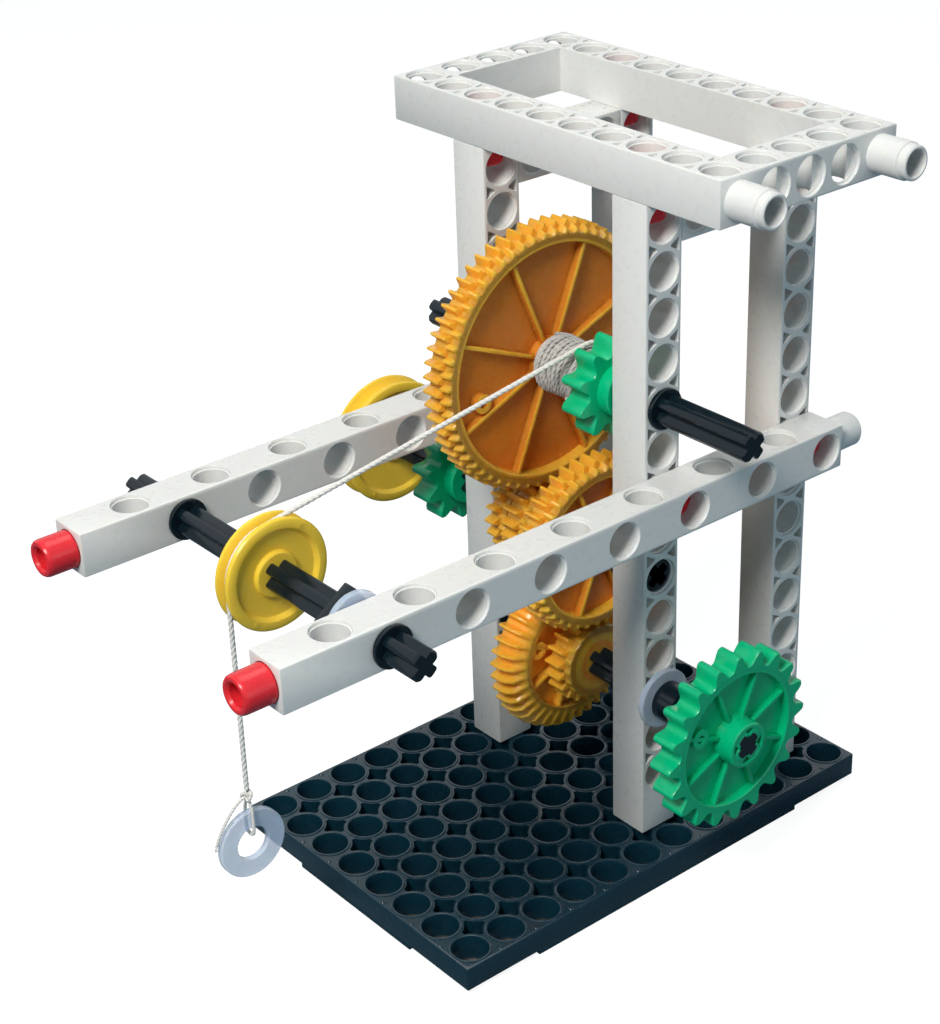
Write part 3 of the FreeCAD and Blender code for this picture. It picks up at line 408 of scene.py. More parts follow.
bar = bmesh.new()
block(bar, (0, -FRAME_END, POST_TOP), (FRAME_REAR, FRAME_END, FRAME_TOP), BEAM_EDGE)
window = bmesh.new()
block(
    window, (CELL, CELL - FRAME_END, POST_TOP - 1), (FRAME_REAR - CELL, FRAME_END - CELL, FRAME_TOP + 1), 0.5,
)
shaped = carved(bar, window)
cutters = bmesh.new()
for i in range(FRAME_WIDE):
    for j in range(FRAME_LONG):
        if i in (0, FRAME_WIDE - 1) or j in (0, FRAME_LONG - 1):
            put(cutters, THROUGH, ((i + 0.5) * CELL, (j + 0.5) * CELL - FRAME_END, POST_TOP))
for joint in range(1, FRAME_LONG):
    for x in POST_X:
        pocket(cutters, (x, joint * CELL - FRAME_END, FRAME_TOP), DOWN, **SHALLOW)
for joint in range(2, FRAME_WIDE - 1):
    for y in (HALF - FRAME_END, FRAME_END - HALF):
        pocket(cutters, (joint * CELL, y, FRAME_TOP), DOWN @ ACROSS, **SHALLOW)
shaped = carved(shaped, cutters)
ends = bmesh.new()
for i in range(FRAME_WIDE):
    put(ends, END_BORE, ((i + 0.5) * CELL, FRAME_END, FRAME_MIDDLE), AGAINST_Y)
    if 0 < i < FRAME_WIDE - 1:
        put(ends, END_BORE, ((i + 0.5) * CELL, -FRAME_END, FRAME_MIDDLE), ALONG_Y)
shaped = carved(shaped, ends)
for x in POST_X:
    put(shaped, FRAME_STUD, (x, -FRAME_END, FRAME_MIDDLE), AGAINST_Y)
piece("top_frame_form", shaped, BEAM, "stand")


# Ties: two short beams of the same plastic between the posts' tops, each held
# by a low round pip in either end. They have two holes across and one upright.

TIE_FRONT = 10.05
TIE_REAR = 39.95
TIE_MIDDLE = POST_TOP - HALF
PIP = turned([(0, 0), (2.5, 0), (2.5, 0.45), (2.3, 0.6), (0, 0.6)], 24)

for name, side in SIDES:
    y = side * POST_Y
    bar = bmesh.new()
    block(bar, (TIE_FRONT, y - HALF, POST_TOP - CELL), (TIE_REAR, y + HALF, POST_TOP), BEAM_EDGE)
    cutters = bmesh.new()
    for x in (15, 35):
        put(cutters, THROUGH, (x, y - HALF, TIE_MIDDLE), ALONG_Y)
    put(cutters, THROUGH, (25, y, POST_TOP - CELL))
    shaped = carved(bar, cutters)
    put(shaped, PIP, (TIE_REAR, y, TIE_MIDDLE), ALONG_X)
    put(shaped, PIP, (TIE_FRONT, y, TIE_MIDDLE), ALONG_X.inverted())
    piece(f"tie_{name}_form", shaped, BEAM, "stand")


# Base plate: a blue-black moulding of round ring walls with four-pointed
# openings between them, small dots along its rim, and a shallow skirt at the
# middle of each side.

BASE = plastic(
    "base_plastic", (0.003, 0.024, 0.040), (0.007, 0.038, 0.060),
    mottling=0.5, roughness=0.24, grain=0.15, gloss=0.45,
)
BASE_LONG = 12
BASE_WIDE = 8
BASE_X = BASE_LONG * HALF
BASE_Y = BASE_WIDE * HALF
STAR_STEP = 10.5
CLEAR = turned([(0, -1), (4.3, -1), (4.3, 9), (0, 9)], 28)
RING = turned([
    (4.0, 1.15), (4.05, 6.75), (4.12, 6.92), (4.3, 7.0), (4.42, 7.0), (4.58, 6.9), (4.66, 6.6), (4.85, 6.5),
    (4.85, 1.3), (4.7, 1.15),
], closed=True)
DOT = turned([(0, 6.4), (0.6, 6.4), (0.6, 6.82), (0.48, 6.95), (0, 6.95)], 16)
DOT_INSET = 0.9
SKIRT_HALF = 0.55
SKIRT_TOP = 1.2
SKIRT_EDGE = 0.15


def cell_middle(i, j):
    """The middle of a cell of the plate."""
    return Vector(((i + 0.5) * CELL - BASE_X, (j + 0.5) * CELL - BASE_Y, 0))


def star_cutter():
    """The opening left between four round walls, its sides arcs about the cells' middles."""
    star = bmesh.new()
    ring = []
    for quarter in range(4):
        for step in range(-2, 3):
            angle = math.radians(45 - STAR_STEP * step)
            corner = Vector((HALF - HALF * math.cos(angle), HALF - HALF * math.sin(angle)))
            x, y = Matrix.Rotation(math.radians(90 * quarter), 2) @ corner
            ring.append(star.verts.new((x, y, -1)))
    made = bmesh.ops.extrude_face_region(star, geom=[star.faces.new(ring)])
    risen = [v for v in made["geom"] if isinstance(v, bmesh.types.BMVert)]
    bmesh.ops.translate(star, vec=(0, 0, 10), verts=risen)
    bmesh.ops.recalc_face_normals(star, faces=star.faces)
    return baked("star", star)


STAR = star_cutter()
slab = bmesh.new()
block(slab, (-BASE_X, -BASE_Y, 1), (BASE_X, BASE_Y, 6.75), 0.3)
cutters = bmesh.new()
for i in range(BASE_LONG):
    for j in range(BASE_WIDE):
        put(cutters, CLEAR, cell_middle(i, j))
        if i and j:
            put(cutters, STAR, cell_middle(i, j) - Vector((HALF, HALF, 0)))
shaped = carved(slab, cutters)
for i in range(BASE_LONG):
    for j in range(BASE_WIDE):
        put(shaped, RING, cell_middle(i, j))
for i in range(1, BASE_LONG):
    for y in (DOT_INSET - BASE_Y, BASE_Y - DOT_INSET):
        put(shaped, DOT, (i * CELL - BASE_X, y, 0))
for j in range(1, BASE_WIDE):
    for x in (DOT_INSET - BASE_X, BASE_X - DOT_INSET):
        put(shaped, DOT, (x, j * CELL - BASE_Y, 0))
for side in (-1, 1):
    y = side * (BASE_Y - SKIRT_HALF)
    block(shaped, (-40, y - SKIRT_HALF, 0), (40, y + SKIRT_HALF, SKIRT_TOP), SKIRT_EDGE)
    x = side * (BASE_X - SKIRT_HALF)
    block(shaped, (x - SKIRT_HALF, -20, 0), (x + SKIRT_HALF, 20, SKIRT_TOP), SKIRT_EDGE)
piece("base_plate_form", shaped, BASE, "stand")


# Pins: hollow red plugs that join the beams end to end and face to face,
# with a chamfered mouth; the two in the arm tips have a longer wider head.

PIN = plastic(
    "pin_plastic", (0.78, 0.025, 0.035), (0.62, 0.015, 0.03),
    mottling=0.5, roughness=0.26, grain=0.2, scatter=0.1, reach=1.5,
)
FOOT_PIN_Z = 2.0
ARM_FACE_Y = 30.0
PLUG = turned([(2.3, 0), (2.3, 10), (3.4, 10), (3.72, 9.6), (3.72, 0.4), (3.4, 0)], 32, True)
TIP_PLUG = turned([
    (2.4, -9), (3.7, -9), (3.72, 0.1), (4.1, 0.15), (4.1, 5.9), (4.0, 6.5), (3.7, 6.95), (3.2, 7.1),
    (2.8, 6.95), (2.4, 6.4),
], 40, True)

for end, x in zip(("front", "rear"), POST_X):
    for name, side in SIDES:
        for kind, spot, turn in (
            ("foot", (x, side * POST_Y, FOOT_PIN_Z), UP),
            ("frame", (x, side * POST_Y, POST_TOP - HALF), UP),
            ("arm", (x, side * ARM_FACE_Y - HALF, ARM_Z), ALONG_Y),
        ):
            bm = bmesh.new()
            put(bm, PLUG, spot, turn)
            piece(f"{kind}_pin_{end}_{name}_form", bm, PIN, "stand")
for name, side in SIDES:
    bm = bmesh.new()
    put(bm, TIP_PLUG, (ARM_X, side * ARM_Y, ARM_Z), ALONG_X.inverted())
    piece(f"tip_pin_{name}_form", bm, PIN, "stand")


# Shafts: straight rods of cross-shaped section in blue-black plastic, their
# four lobes rounded and their ends chamfered.

AXLE = plastic(
    "axle_plastic", (0.002, 0.008, 0.013), (0.006, 0.016, 0.024),
    mottling=0.5, roughness=0.17, grain=0.1, gloss=0.3,
)
CROSS = (
    (1.2, 1.2), (1.2, 2.8), (1.08, 3.12), (0.75, 3.34), (0, 3.4), (-0.75, 3.34), (-1.08, 3.12), (-1.2, 2.8),
)
CROSS_TURN = 40
ROD_CHAMFER = 0.45
ROD_TIP = 0.86
WINCH = (5.0, 112.0)
LAY = (5.0, 72.0)
CRANK = (5.0, 42.0)
FRONT = (-75.0, 92.0)


def cross_rod(start, length, centre):
    """A shaft along Y from its first end, about its centre in X and Z."""
    bm = bmesh.new()
    last = None
    end = start + length
    for y, share in ((start, ROD_TIP), (start + ROD_CHAMFER, 1), (end - ROD_CHAMFER, 1), (end, ROD_TIP)):
        ring = []
        for quarter in range(4):
            angle = math.radians(CROSS_TURN + 90 * quarter)
            for a, b in CROSS:
                b = b * share if b > 2 else b
                x = a * math.cos(angle) - b * math.sin(angle)
                z = a * math.sin(angle) + b * math.cos(angle)
                ring.append(bm.verts.new((centre[0] + x, y, centre[1] + z)))
        edges = [bm.edges.new((ring[k - 1], ring[k])) for k in range(len(ring))]
        if last:
            bmesh.ops.bridge_loops(bm, edges=last + edges)
        else:
            bm.faces.new(ring)
        last = edges
    bm.faces.new(ring)
    bmesh.ops.recalc_face_normals(bm, faces=bm.faces)
    return bm


for name, start, length, centre, body in (
    ("winch_axle", -56.0, 100.0, WINCH, "winch_shaft"),
    ("lay_axle", -29.0, 100.0, LAY, "middle_shaft"),
    ("crank_axle", -57.0, 80.0, CRANK, "crank_shaft"),
    ("front_axle", -50.5, 100.0, FRONT, "pulley_shaft"),
):
    piece(name + "_form", cross_rod(start, length, centre), AXLE, body)


# Bushes and the crank's collar: short black sleeves with a thin flange, keyed
# to the shaft, that turn in the beams' holes. The collar is a plain drum.

BUSH = turned([
    (0, -1.2), (4.35, -1.2), (4.58, -1.05), (4.58, -0.45), (4.35, -0.3), (3.77, -0.3), (3.77, 8.7),
    (3.5, 9.0), (0, 9.0),
])
COLLAR = turned([(0, 0), (4.2, 0), (4.55, 0.3), (4.55, 5.7), (4.2, 6.0), (0, 6.0)])

for name, face, centre, turn, body in (
    ("winch_bush_right", -30.0, WINCH, ALONG_Y, "winch_shaft"),
    ("winch_bush_left", 20.0, WINCH, ALONG_Y, "winch_shaft"),
    ("lay_bush_right", -20.0, LAY, AGAINST_Y, "middle_shaft"),
    ("lay_bush_left", 20.0, LAY, ALONG_Y, "middle_shaft"),
    ("crank_bush_right", -20.0, CRANK, AGAINST_Y, "crank_shaft"),
    ("crank_bush_left", 20.0, CRANK, ALONG_Y, "crank_shaft"),
    ("front_bush_right", -40.0, FRONT, ALONG_Y, "pulley_shaft"),
    ("front_bush_left", 30.0, FRONT, ALONG_Y, "pulley_shaft"),
):
    bm = bmesh.new()
    put(bm, BUSH, (centre[0], face, centre[1]), turn)
    piece(name + "_form", bm, AXLE, body)
bm = bmesh.new()
put(bm, COLLAR, (CRANK[0], -37.9, CRANK[1]), ALONG_Y)
piece("crank_collar_form", bm, AXLE, "crank_shaft")


# Washers: flat rings of pale bluish plastic, one beside the crank's collar,
# one beside the front pulley's stop and one as the weight on the string.

WASHER = plastic(
    "washer_plastic", (0.68, 0.78, 0.93), (0.60, 0.70, 0.88),
    mottling=0.5, roughness=0.22, grain=0.1, scatter=0.5, reach=3.0, alpha=0.6,
)
WEIGHT = (-85.6, -1.2, 31.2)


def flat_ring(thickness, rim, bore=3.85, ease=0.15):
    """A flat washer about Z, with its edges eased."""
    half = thickness / 2
    return turned([
        (bore, -half + ease), (bore + ease, -half), (rim - 0.2, -half), (rim, -half + ease),
        (rim, half - ease), (rim - 0.2, half), (bore + ease, half), (bore, half - ease),
    ], 64, True)


for name, thickness, rim, spot, body in (
    ("crank_washer", 1.5, 6.9, (CRANK[0], -31.05, CRANK[1]), "crank_shaft"),
    ("front_washer", 1.5, 6.7, (FRONT[0], -28.95, FRONT[1]), "pulley_shaft"),
    ("weight_ring", 1.6, 7.98, WEIGHT, "weight"),
):
    bm = bmesh.new()
    put(bm, flat_ring(thickness, rim), spot, ALONG_Y)
    piece(name + "_form", bm, WASHER, body)


# Gear wheels: amber translucent plastic. Each has two rows of straight teeth
# set half a tooth apart, a thin web with radial ribs, a hub and a small boss.

GEAR = plastic(
    "gear_plastic", (1.0, 0.47, 0.045), (0.90, 0.30, 0.025),
    mottling=0.6, roughness=0.26, grain=0.12, scatter=0.55, reach=6.0,
)
# A darker, redder copy of the gear plastic: painted shade on the recessed web inside each wheel's rim.
WEB_SHADE = plastic(
    "gear_web_painted_shade", (0.74, 0.27, 0.03), (0.56, 0.14, 0.015),
    mottling=0.7, roughness=0.28, grain=0.12, scatter=0.55, reach=6.0,
)
GEAR_TOOTH = (1.0, 0.97, 0.62, 0.16, 0.0, 0.0, 0.0)


def toothed_row(bm, teeth, phase, stations, inner, centre, flank=GEAR_TOOTH):
    """A ring of teeth about Y. Each station is (y, root radius, tip radius)."""
    columns = 2 * (len(flank) - 1)
    loop = [(inner, stations[0][0])] + [(root, y) for y, root, tip in stations] + [(inner, stations[-1][0])]
    first = len(bm.verts)
    put(bm, turned(loop, teeth * columns, True), (0, 0, 0), ALONG_Y)
    for vert in bm.verts[first:]:
        wide = math.hypot(vert.co.x, vert.co.z)
        for y, root, tip in stations:
            if abs(vert.co.y - y) < 1e-3 and abs(wide - root) < 1e-3:
                turn = math.atan2(vert.co.x, vert.co.z) / math.tau * teeth - phase
                share = abs(turn - round(turn)) * columns
                low = min(int(share + 1e-4), len(flank) - 2)
                rise = flank[low] + (flank[low + 1] - flank[low]) * min(1.0, share - low)
                factor = (root + (tip - root) * rise) / root
                vert.co.x *= factor
                vert.co.z *= factor
                break
    bmesh.ops.translate(bm, vec=(centre[0], 0, centre[1]), verts=bm.verts[first:])


def bar_on_wheel(bm, low, high, edge, centre, turn):
    """A straight rib or spoke, turned about Y and set on the wheel's centre."""
    bar = bmesh.new()
    block(bar, low, high, edge)
    put(bm, baked("bar", bar), (centre[0], 0, centre[1]), Matrix.Rotation(turn, 4, "Y"))


def wheel_body(bm, near, far, inner, outer, centre, hub=4.9, web=2.5, ribs=8, boss=None):
    """The rim, web, ribs, hub and boss that carry a ring of teeth."""
    low, high = near + web, far - web
    side = [(hub, near), (hub + 0.25, low), (inner - 0.3, low), (inner, near + 0.15), (inner + 0.2, near)]
    profile = [(0, near)] + side + [(outer, near + 0.05), (outer, far - 0.05)]
    profile += [(radius, near + far - height) for radius, height in reversed(side)] + [(0, far)]
    put(bm, turned(profile, 72), (centre[0], 0, centre[1]), ALONG_Y)
    for index in range(ribs):
        turn = math.tau * (index + 0.5) / ribs
        for bottom, top in ((near + 0.5, low + 0.1), (high - 0.1, far - 0.5)):
            bar_on_wheel(bm, (-0.45, bottom, hub - 0.3), (0.45, top, inner + 0.3), 0.12, centre, turn)
    if boss:
        face = near + 0.4
        ring = turned([(1.0, face), (1.3, face), (2.2, face), (2.2, low + 0.1), (1.0, low + 0.1)], 24, True)
        put(bm, ring, (centre[0] + boss[0], 0, centre[1] + boss[1]), ALONG_Y)


def paint_web_shade(item, centre, radius, near, far):
    """Gives the thin web inside a wheel's rim a darker, redder copy of the gear plastic, a painted shade for
    the recessed web.
    """
    item.data.materials.append(WEB_SHADE)
    for face in item.data.polygons:
        x, y, z = face.center / MM
        if math.hypot(x - centre[0], z - centre[1]) < radius and near + 0.9 < y < far - 0.9:
            face.material_index = 1


def pinion(name, near, far, phase, tip, body, centre):
    """A small gear, whose near row of teeth is lower by the given tip radius."""
    bm = bmesh.new()
    middle = near + 1.8
    near_row = ((near, 8.6, tip - 0.3), (near + 0.2, 8.7, tip), (middle, 8.7, tip))
    far_row = ((middle, 8.75, 10.6), (middle + 0.2, 8.75, 10.84), (far - 0.2, 8.75, 10.84), (far, 8.6, 10.6))
    toothed_row(bm, 20, phase + 0.5, near_row, 4.0, centre)
    toothed_row(bm, 20, phase, far_row, 4.0, centre)
    wheel_body(bm, near, far, 7.0, 8.6, centre, web=0.9, ribs=0)
    piece(name + "_form", bm, GEAR, body)


bm = bmesh.new()
near_row = ((4.0, 28.1, 29.0), (4.2, 28.3, 29.4), (6.2, 28.75, 30.2))
far_row = ((6.2, 28.7, 30.6), (6.4, 28.75, 30.84), (10.8, 28.75, 30.84), (11.0, 28.6, 30.5))
toothed_row(bm, 60, 0.5, near_row, 27.2, WINCH)
toothed_row(bm, 60, 0.0, far_row, 27.2, WINCH)
wheel_body(bm, 4.0, 11.0, 26.4, 28.4, WINCH, boss=(-19.5, -4.5))
paint_web_shade(piece("winch_gear_form", bm, GEAR, "winch_shaft"), WINCH, 26.2, 4.0, 11.0)

bm = bmesh.new()
near_row = ((-11.8, 18.2, 19.0), (-11.6, 18.4, 19.4), (-9.6, 18.75, 20.2))
far_row = ((-9.6, 18.7, 20.6), (-9.4, 18.75, 20.84), (-5.0, 18.75, 20.84), (-4.8, 18.6, 20.5))
toothed_row(bm, 40, 0.5, near_row, 17.2, LAY)
toothed_row(bm, 40, 0.0, far_row, 17.2, LAY)
wheel_body(bm, -11.8, -4.8, 16.6, 18.4, LAY, boss=(-11.5, 4.0))
paint_web_shade(piece("lay_gear_form", bm, GEAR, "middle_shaft"), LAY, 16.4, -11.8, -4.8)

bm = bmesh.new()
crown = (
    (-3.2, 15.6, 15.8), (-2.85, 16.3, 17.2), (-2.3, 17.2, 19.2), (-0.8, 18.2, 20.4), (0.8, 18.75, 20.84),
    (3.6, 18.75, 20.84), (3.8, 18.6, 20.5),
)
toothed_row(bm, 40, 0.5, crown, 14.4, CRANK)
wheel_body(bm, -3.2, 3.8, 14.6, 15.4, CRANK, boss=(-11.5, 4.0))
piece("crank_gear_form", bm, GEAR, "crank_shaft")

pinion("lay_pinion", 4.4, 11.0, 0.5, 9.5, "middle_shaft", LAY)
pinion("lay_pinion_rear", 11.3, 16.3, 0.0, 9.5, "middle_shaft", LAY)
pinion("crank_pinion", -10.1, -3.5, 0.5, 9.0, "crank_shaft", CRANK)


# Sprockets: glossy green plastic with round-ended teeth for a chain. The
# large one serves as the hand wheel, and has a ribbed web and a hollow hub
# whose bore is closed by two crossed bars.

SPROCKET = plastic(
    "sprocket_plastic", (0.001, 0.50, 0.22), (0.001, 0.40, 0.17),
    mottling=0.5, roughness=0.2, grain=0.1, scatter=0.15, reach=2.0,
)
CHAIN_TOOTH = (1.0, 0.97, 0.86, 0.62, 0.34, 0.14, 0.04, 0.0, 0.0)
SPROCKET_WIDE = 6.0
HAND_Y = -54.0


def chain_rows(near, middle, edge):
    """The stations of a sprocket's teeth, narrower at its faces than in the middle."""
    far = near + SPROCKET_WIDE
    return ((near, *edge), (near + 0.35, *middle), (far - 0.35, *middle), (far, *edge))


for name, near, centre, body in (
    ("winch_sprocket", -16.4, WINCH, "winch_shaft"), ("lay_sprocket", 37.0, LAY, "middle_shaft"),
):
    bm = bmesh.new()
    toothed_row(bm, 10, 0.0, chain_rows(near, (7.91, 11.2), (7.7, 10.9)), 3.0, centre, CHAIN_TOOTH)
    hub = turned([(0, -3), (5.6, -3), (5.95, -2.7), (5.95, 0.2), (0, 0.2)])
    put(bm, hub, (centre[0], near, centre[1]), ALONG_Y)
    piece(name + "_form", bm, SPROCKET, body)

bm = bmesh.new()
toothed_row(bm, 20, 0.0, chain_rows(HAND_Y, (17.38, 20.66), (17.2, 20.3)), 16.2, CRANK, CHAIN_TOOTH)
wheel_body(bm, HAND_Y, HAND_Y + SPROCKET_WIDE, 15.5, 17.2, CRANK, hub=5.3, web=2.0, boss=(-10.72, 4.56))
sleeve = turned([(4.2, -3), (4.9, -3), (5.28, -2.7), (5.28, 1.0), (4.2, 1.0)], closed=True)
bottom = turned([(0, -1.5), (4.3, -1.5), (4.3, 1.0), (0, 1.0)])
for form in (sleeve, bottom):
    put(bm, form, (CRANK[0], HAND_Y, CRANK[1]), ALONG_Y)
for angle in (-CROSS_TURN, 90 - CROSS_TURN):
    bar_on_wheel(bm, (-1.9, HAND_Y - 2.9, -4.6), (1.9, HAND_Y, 4.6), 0.1, CRANK, math.radians(angle))
piece("hand_wheel_form", bm, SPROCKET, "crank_shaft")


# Pulleys: bright yellow plastic, dished on both faces, with a deep groove for
# the string and two gate marks on the rim's face.

PULLEY = plastic(
    "pulley_plastic", (1.0, 0.67, 0.06), (0.95, 0.56, 0.04),
    mottling=0.5, roughness=0.22, grain=0.1, scatter=0.2, reach=2.5,
)
GATE_MARK = turned([(0, -0.1), (0.55, -0.1), (0.5, 0.12), (0, 0.12)], 16)
GATE_TURN = 0.6

for name, radius, groove, width, y, centre, body in (
    ("lay_pulley", 15.5, 12.5, 6.5, 65.0, LAY, "middle_shaft"),
    ("front_pulley", 12.3, 9.7, 5.0, -1.2, FRONT, "pulley_shaft"),
):
    half = width / 2
    face = [
        (0, half - 0.3), (4.6, half - 0.3), (4.9, half - 0.5), (5.2, half - 1.2), (radius - 3.0, half - 1.0),
        (radius - 2.5, half - 0.35), (radius - 2.2, half - 0.05), (radius - 1.9, half), (radius - 0.9, half),
        (radius - 0.35, half - 0.2), (radius - 0.02, half - 0.65), (radius - 0.15, half - 1.15),
        (radius - 0.7, half - 1.5), (groove + 0.35, 0.85), (groove, 0.35),
    ]
    bm = bmesh.new()
    disc = turned(face + [(r, -h) for r, h in reversed(face)], 96)
    put(bm, disc, (centre[0], y, centre[1]), ALONG_Y)
    for turn in (GATE_TURN, GATE_TURN + math.pi):
        x = centre[0] + (radius - 1.4) * math.sin(turn)
        z = centre[1] + (radius - 1.4) * math.cos(turn)
        put(bm, GATE_MARK, (x, y - half, z), ALONG_Y)
    piece(name + "_form", bm, PULLEY, body)


# The front shaft's stop: a small square block of the shafts' black plastic,
# pushed on the front shaft beside the pulley's washer to keep the two in place.

STOP_HALF = 4.9
STOP_Y = (-28.1, -24.6)
bm = bmesh.new()
block(bm, (-STOP_HALF, STOP_Y[0], -STOP_HALF), (STOP_HALF, STOP_Y[1], STOP_HALF), 0.3)
bmesh.ops.rotate(bm, cent=(0, 0, 0), matrix=Matrix.Rotation(math.radians(-35), 3, "Y"), verts=bm.verts)
bmesh.ops.translate(bm, vec=(FRONT[0], 0, FRONT[1]), verts=bm.verts)
piece("front_stop_form", bm, AXLE, "pulley_shaft")


# String: three twisted plies of pale cotton about 1.2 mm thick. It leaves the
# winding, runs taut to the front pulley, wraps it and hangs to the knot.


def cotton(name, colour, shade):
    """Matt fuzzy thread with paler and darker patches."""
    material = bpy.data.materials.new(name)
    material.use_nodes = True
    tree = material.node_tree
    nodes, links = tree.nodes, tree.links
    shader = nodes["Principled BSDF"]
    place = nodes.new("ShaderNodeTexCoord")
    fuzz = noise(tree, place, 3800, 5)
    patch = noise(tree, place, 260, 2)
    blend = nodes.new("ShaderNodeMix")
    blend.data_type = "RGBA"
    blend.inputs["A"].default_value = (*colour, 1)
    blend.inputs["B"].default_value = (*shade, 1)
    links.new(patch, blend.inputs["Factor"])
    links.new(blend.outputs["Result"], shader.inputs["Base Color"])
    bump = nodes.new("ShaderNodeBump")
    bump.inputs["Strength"].default_value = 0.7
    bump.inputs["Distance"].default_value = 0.00008
    links.new(fuzz, bump.inputs["Height"])
    links.new(bump.outputs["Normal"], shader.inputs["Normal"])
    shader.inputs["Roughness"].default_value = 0.85
    shader.inputs["Sheen Weight"].default_value = 0.3
    shader.inputs["Sheen Roughness"].default_value = 0.5
    return material


STRING = cotton("string_thread", (0.84, 0.81, 0.75), (0.72, 0.70, 0.66))
PLY_RADIUS = 0.39
PLY_OFFSET = 0.2
TWIST = 4.2


def spline_points(name, points):
    """The line of a smooth NURBS curve through a route, in millimetres."""
    curve = bpy.data.curves.new(name, "CURVE")
    curve.dimensions = "3D"
    curve.resolution_u = 24
    spline = curve.splines.new("NURBS")
    spline.points.add(len(points) - 1)
    for point, spot in zip(spline.points, points):
        point.co = (*spot, 1)
    spline.order_u = 3
    spline.use_endpoint_u = True
    item = bpy.data.objects.new(name, curve)
    scene.collection.objects.link(item)
    mesh = bpy.data.meshes.new_from_object(item.evaluated_get(bpy.context.evaluated_depsgraph_get()))
    line = [vert.co.copy() for vert in mesh.vertices]
    bpy.data.objects.remove(item)
    return line


def even(line, gap):
    """The same line with its points an even gap apart."""
    spots = [line[0]]
    carried = 0.0
    for here, there in zip(line, line[1:]):
        length = (there - here).length
        while length and carried + length >= gap:
            share = (gap - carried) / length
            here = here.lerp(there, share)
            spots.append(here)
            length = (there - here).length
            carried = 0.0
        carried += length
    if (spots[-1] - line[-1]).length > gap * 0.3:
        spots.append(line[-1])
    return spots


def twisted(bm, line, ply=PLY_RADIUS, offset=PLY_OFFSET, twist=TWIST, gap=0.3, sides=7, plies=3):
    """Plies wound round a line, each a closed tube with a frame that doesn't spin."""
    spots = even(line, gap)
    way = (spots[1] - spots[0]).normalized()
    across = way.orthogonal().normalized()
    frames = []
    travelled = 0.0
    for index, spot in enumerate(spots):
        ahead = spots[min(index + 1, len(spots) - 1)] - spots[max(index - 1, 0)]
        next_way = ahead.normalized()
        across = (way.rotation_difference(next_way) @ across).normalized()
        way = next_way
        if index:
            travelled += (spot - spots[index - 1]).length
        frames.append((spot, way.copy(), across.copy(), travelled))
    for strand in range(plies):
        last = None
        for spot, way, across, travelled in frames:
            angle = math.tau * (travelled / twist + strand / plies)
            out = Matrix.Rotation(angle, 3, way) @ across
            centre = spot + out * (offset if plies > 1 else 0)
            other = way.cross(out)
            ring = []
            for step in range(sides):
                turn = math.tau * step / sides
                ring.append(bm.verts.new(centre + (out * math.cos(turn) + other * math.sin(turn)) * ply))
            edges = [bm.edges.new((ring[k], ring[(k + 1) % sides])) for k in range(sides)]
            if last:
                bmesh.ops.bridge_loops(bm, edges=last + edges)
            else:
                bm.faces.new(ring)
            last = edges
        bm.faces.new(ring)
    bmesh.ops.recalc_face_normals(bm, faces=bm.faces)


HANG = WEIGHT[:2]
RUN = [
    (-1.908, -8.15, 109.11), (-0.763, -8.08, 106.376), (4.649, -7.96, 103.956), (10.251, -7.85, 105.896),
    (13.006, -7.73, 111.144), (11.422, -7.61, 116.857), (6.357, -7.5, 119.937), (0.561, -7.18, 118.717),
    (-73.503, -1.48, 103.147), (-80.859, -1.2, 101.599), (*HANG, 95.754), (*HANG, 92.0),
]
run_line = spline_points("run_route", RUN)
bm = bmesh.new()
twisted(bm, run_line)
run = piece("string_run_form", bm, STRING, "stand", ["string_run"], 60)

DROP = [(*HANG, 92.0), (*HANG, 84.0), (-85.55, -1.2, 68.0), (*HANG, 52.0), (*HANG, 44.5)]
drop_line = spline_points("drop_route", DROP)
bm = bmesh.new()
twisted(bm, drop_line)
drop = piece("string_drop_form", bm, STRING, None, ["string_drop"], 60)
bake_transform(drop)


# Knot: the string's end tied in a small knot above the weight, with a loop
# through the ring's hole and a loose tail that frays at its tip.

KNOT = Vector((*HANG, 43.0))
KNOT_SIZE = 0.40
KNOT_STEPS = 18
LOOP = [
    (0, 0, -0.3), (0, -1.1, -2.4), (0, -1.4, -4.2), (0, -1.4, -7.6), (0, -1.2, -9.3), (0, 0, -9.9),
    (0, 1.2, -9.3), (0, 1.4, -7.6), (0, 1.4, -4.2), (0, 1.1, -2.4), (0, 0, -0.3),
]
TAIL = [(0, 0, 0), (-2.4, -0.3, -0.4), (-4.9, -0.4, -2.6), (-7.6, -0.3, -6.2), (-8.7, -0.2, -9.0)]

bm = bmesh.new()
tangle = []
for step in range(KNOT_STEPS + 1):
    turn = math.tau * step / KNOT_STEPS
    tangle.append(KNOT + Vector((
        KNOT_SIZE * (math.sin(turn) + 2 * math.sin(2 * turn)),
        KNOT_SIZE * (math.cos(turn) - 2 * math.cos(2 * turn)),
        -0.85 * math.sin(3 * turn),
    )))
twisted(bm, spline_points("knot_route", tangle), ply=0.25, offset=0.18, twist=2.2, gap=0.2)
loop_line = spline_points("loop_route", [KNOT + Vector(p) for p in LOOP])
twisted(bm, loop_line, ply=0.24, offset=0.18, twist=2.4, gap=0.24)
tail_line = spline_points("tail_route", [KNOT + Vector(p) for p in TAIL])
twisted(bm, tail_line, ply=0.2, offset=0.16, twist=2.4, gap=0.24)
fray = random.Random(7)
for fibre in range(7):
    spots = [tail_line[-9].copy(), tail_line[-1].copy()]
    for reach in (0.5, 1.1):
        side = Vector((fray.uniform(-0.45, 0.25), fray.uniform(-0.35, 0.35), -reach))
        spots.append(tail_line[-1] + side)
    fibre_line = spline_points("fray_route", spots)
    twisted(bm, fibre_line, ply=0.07, offset=0.0, twist=2.0, gap=0.2, sides=5, plies=1)
knot = piece("weight_knot_form", bm, STRING, "weight", ["weight_knot"], 60)
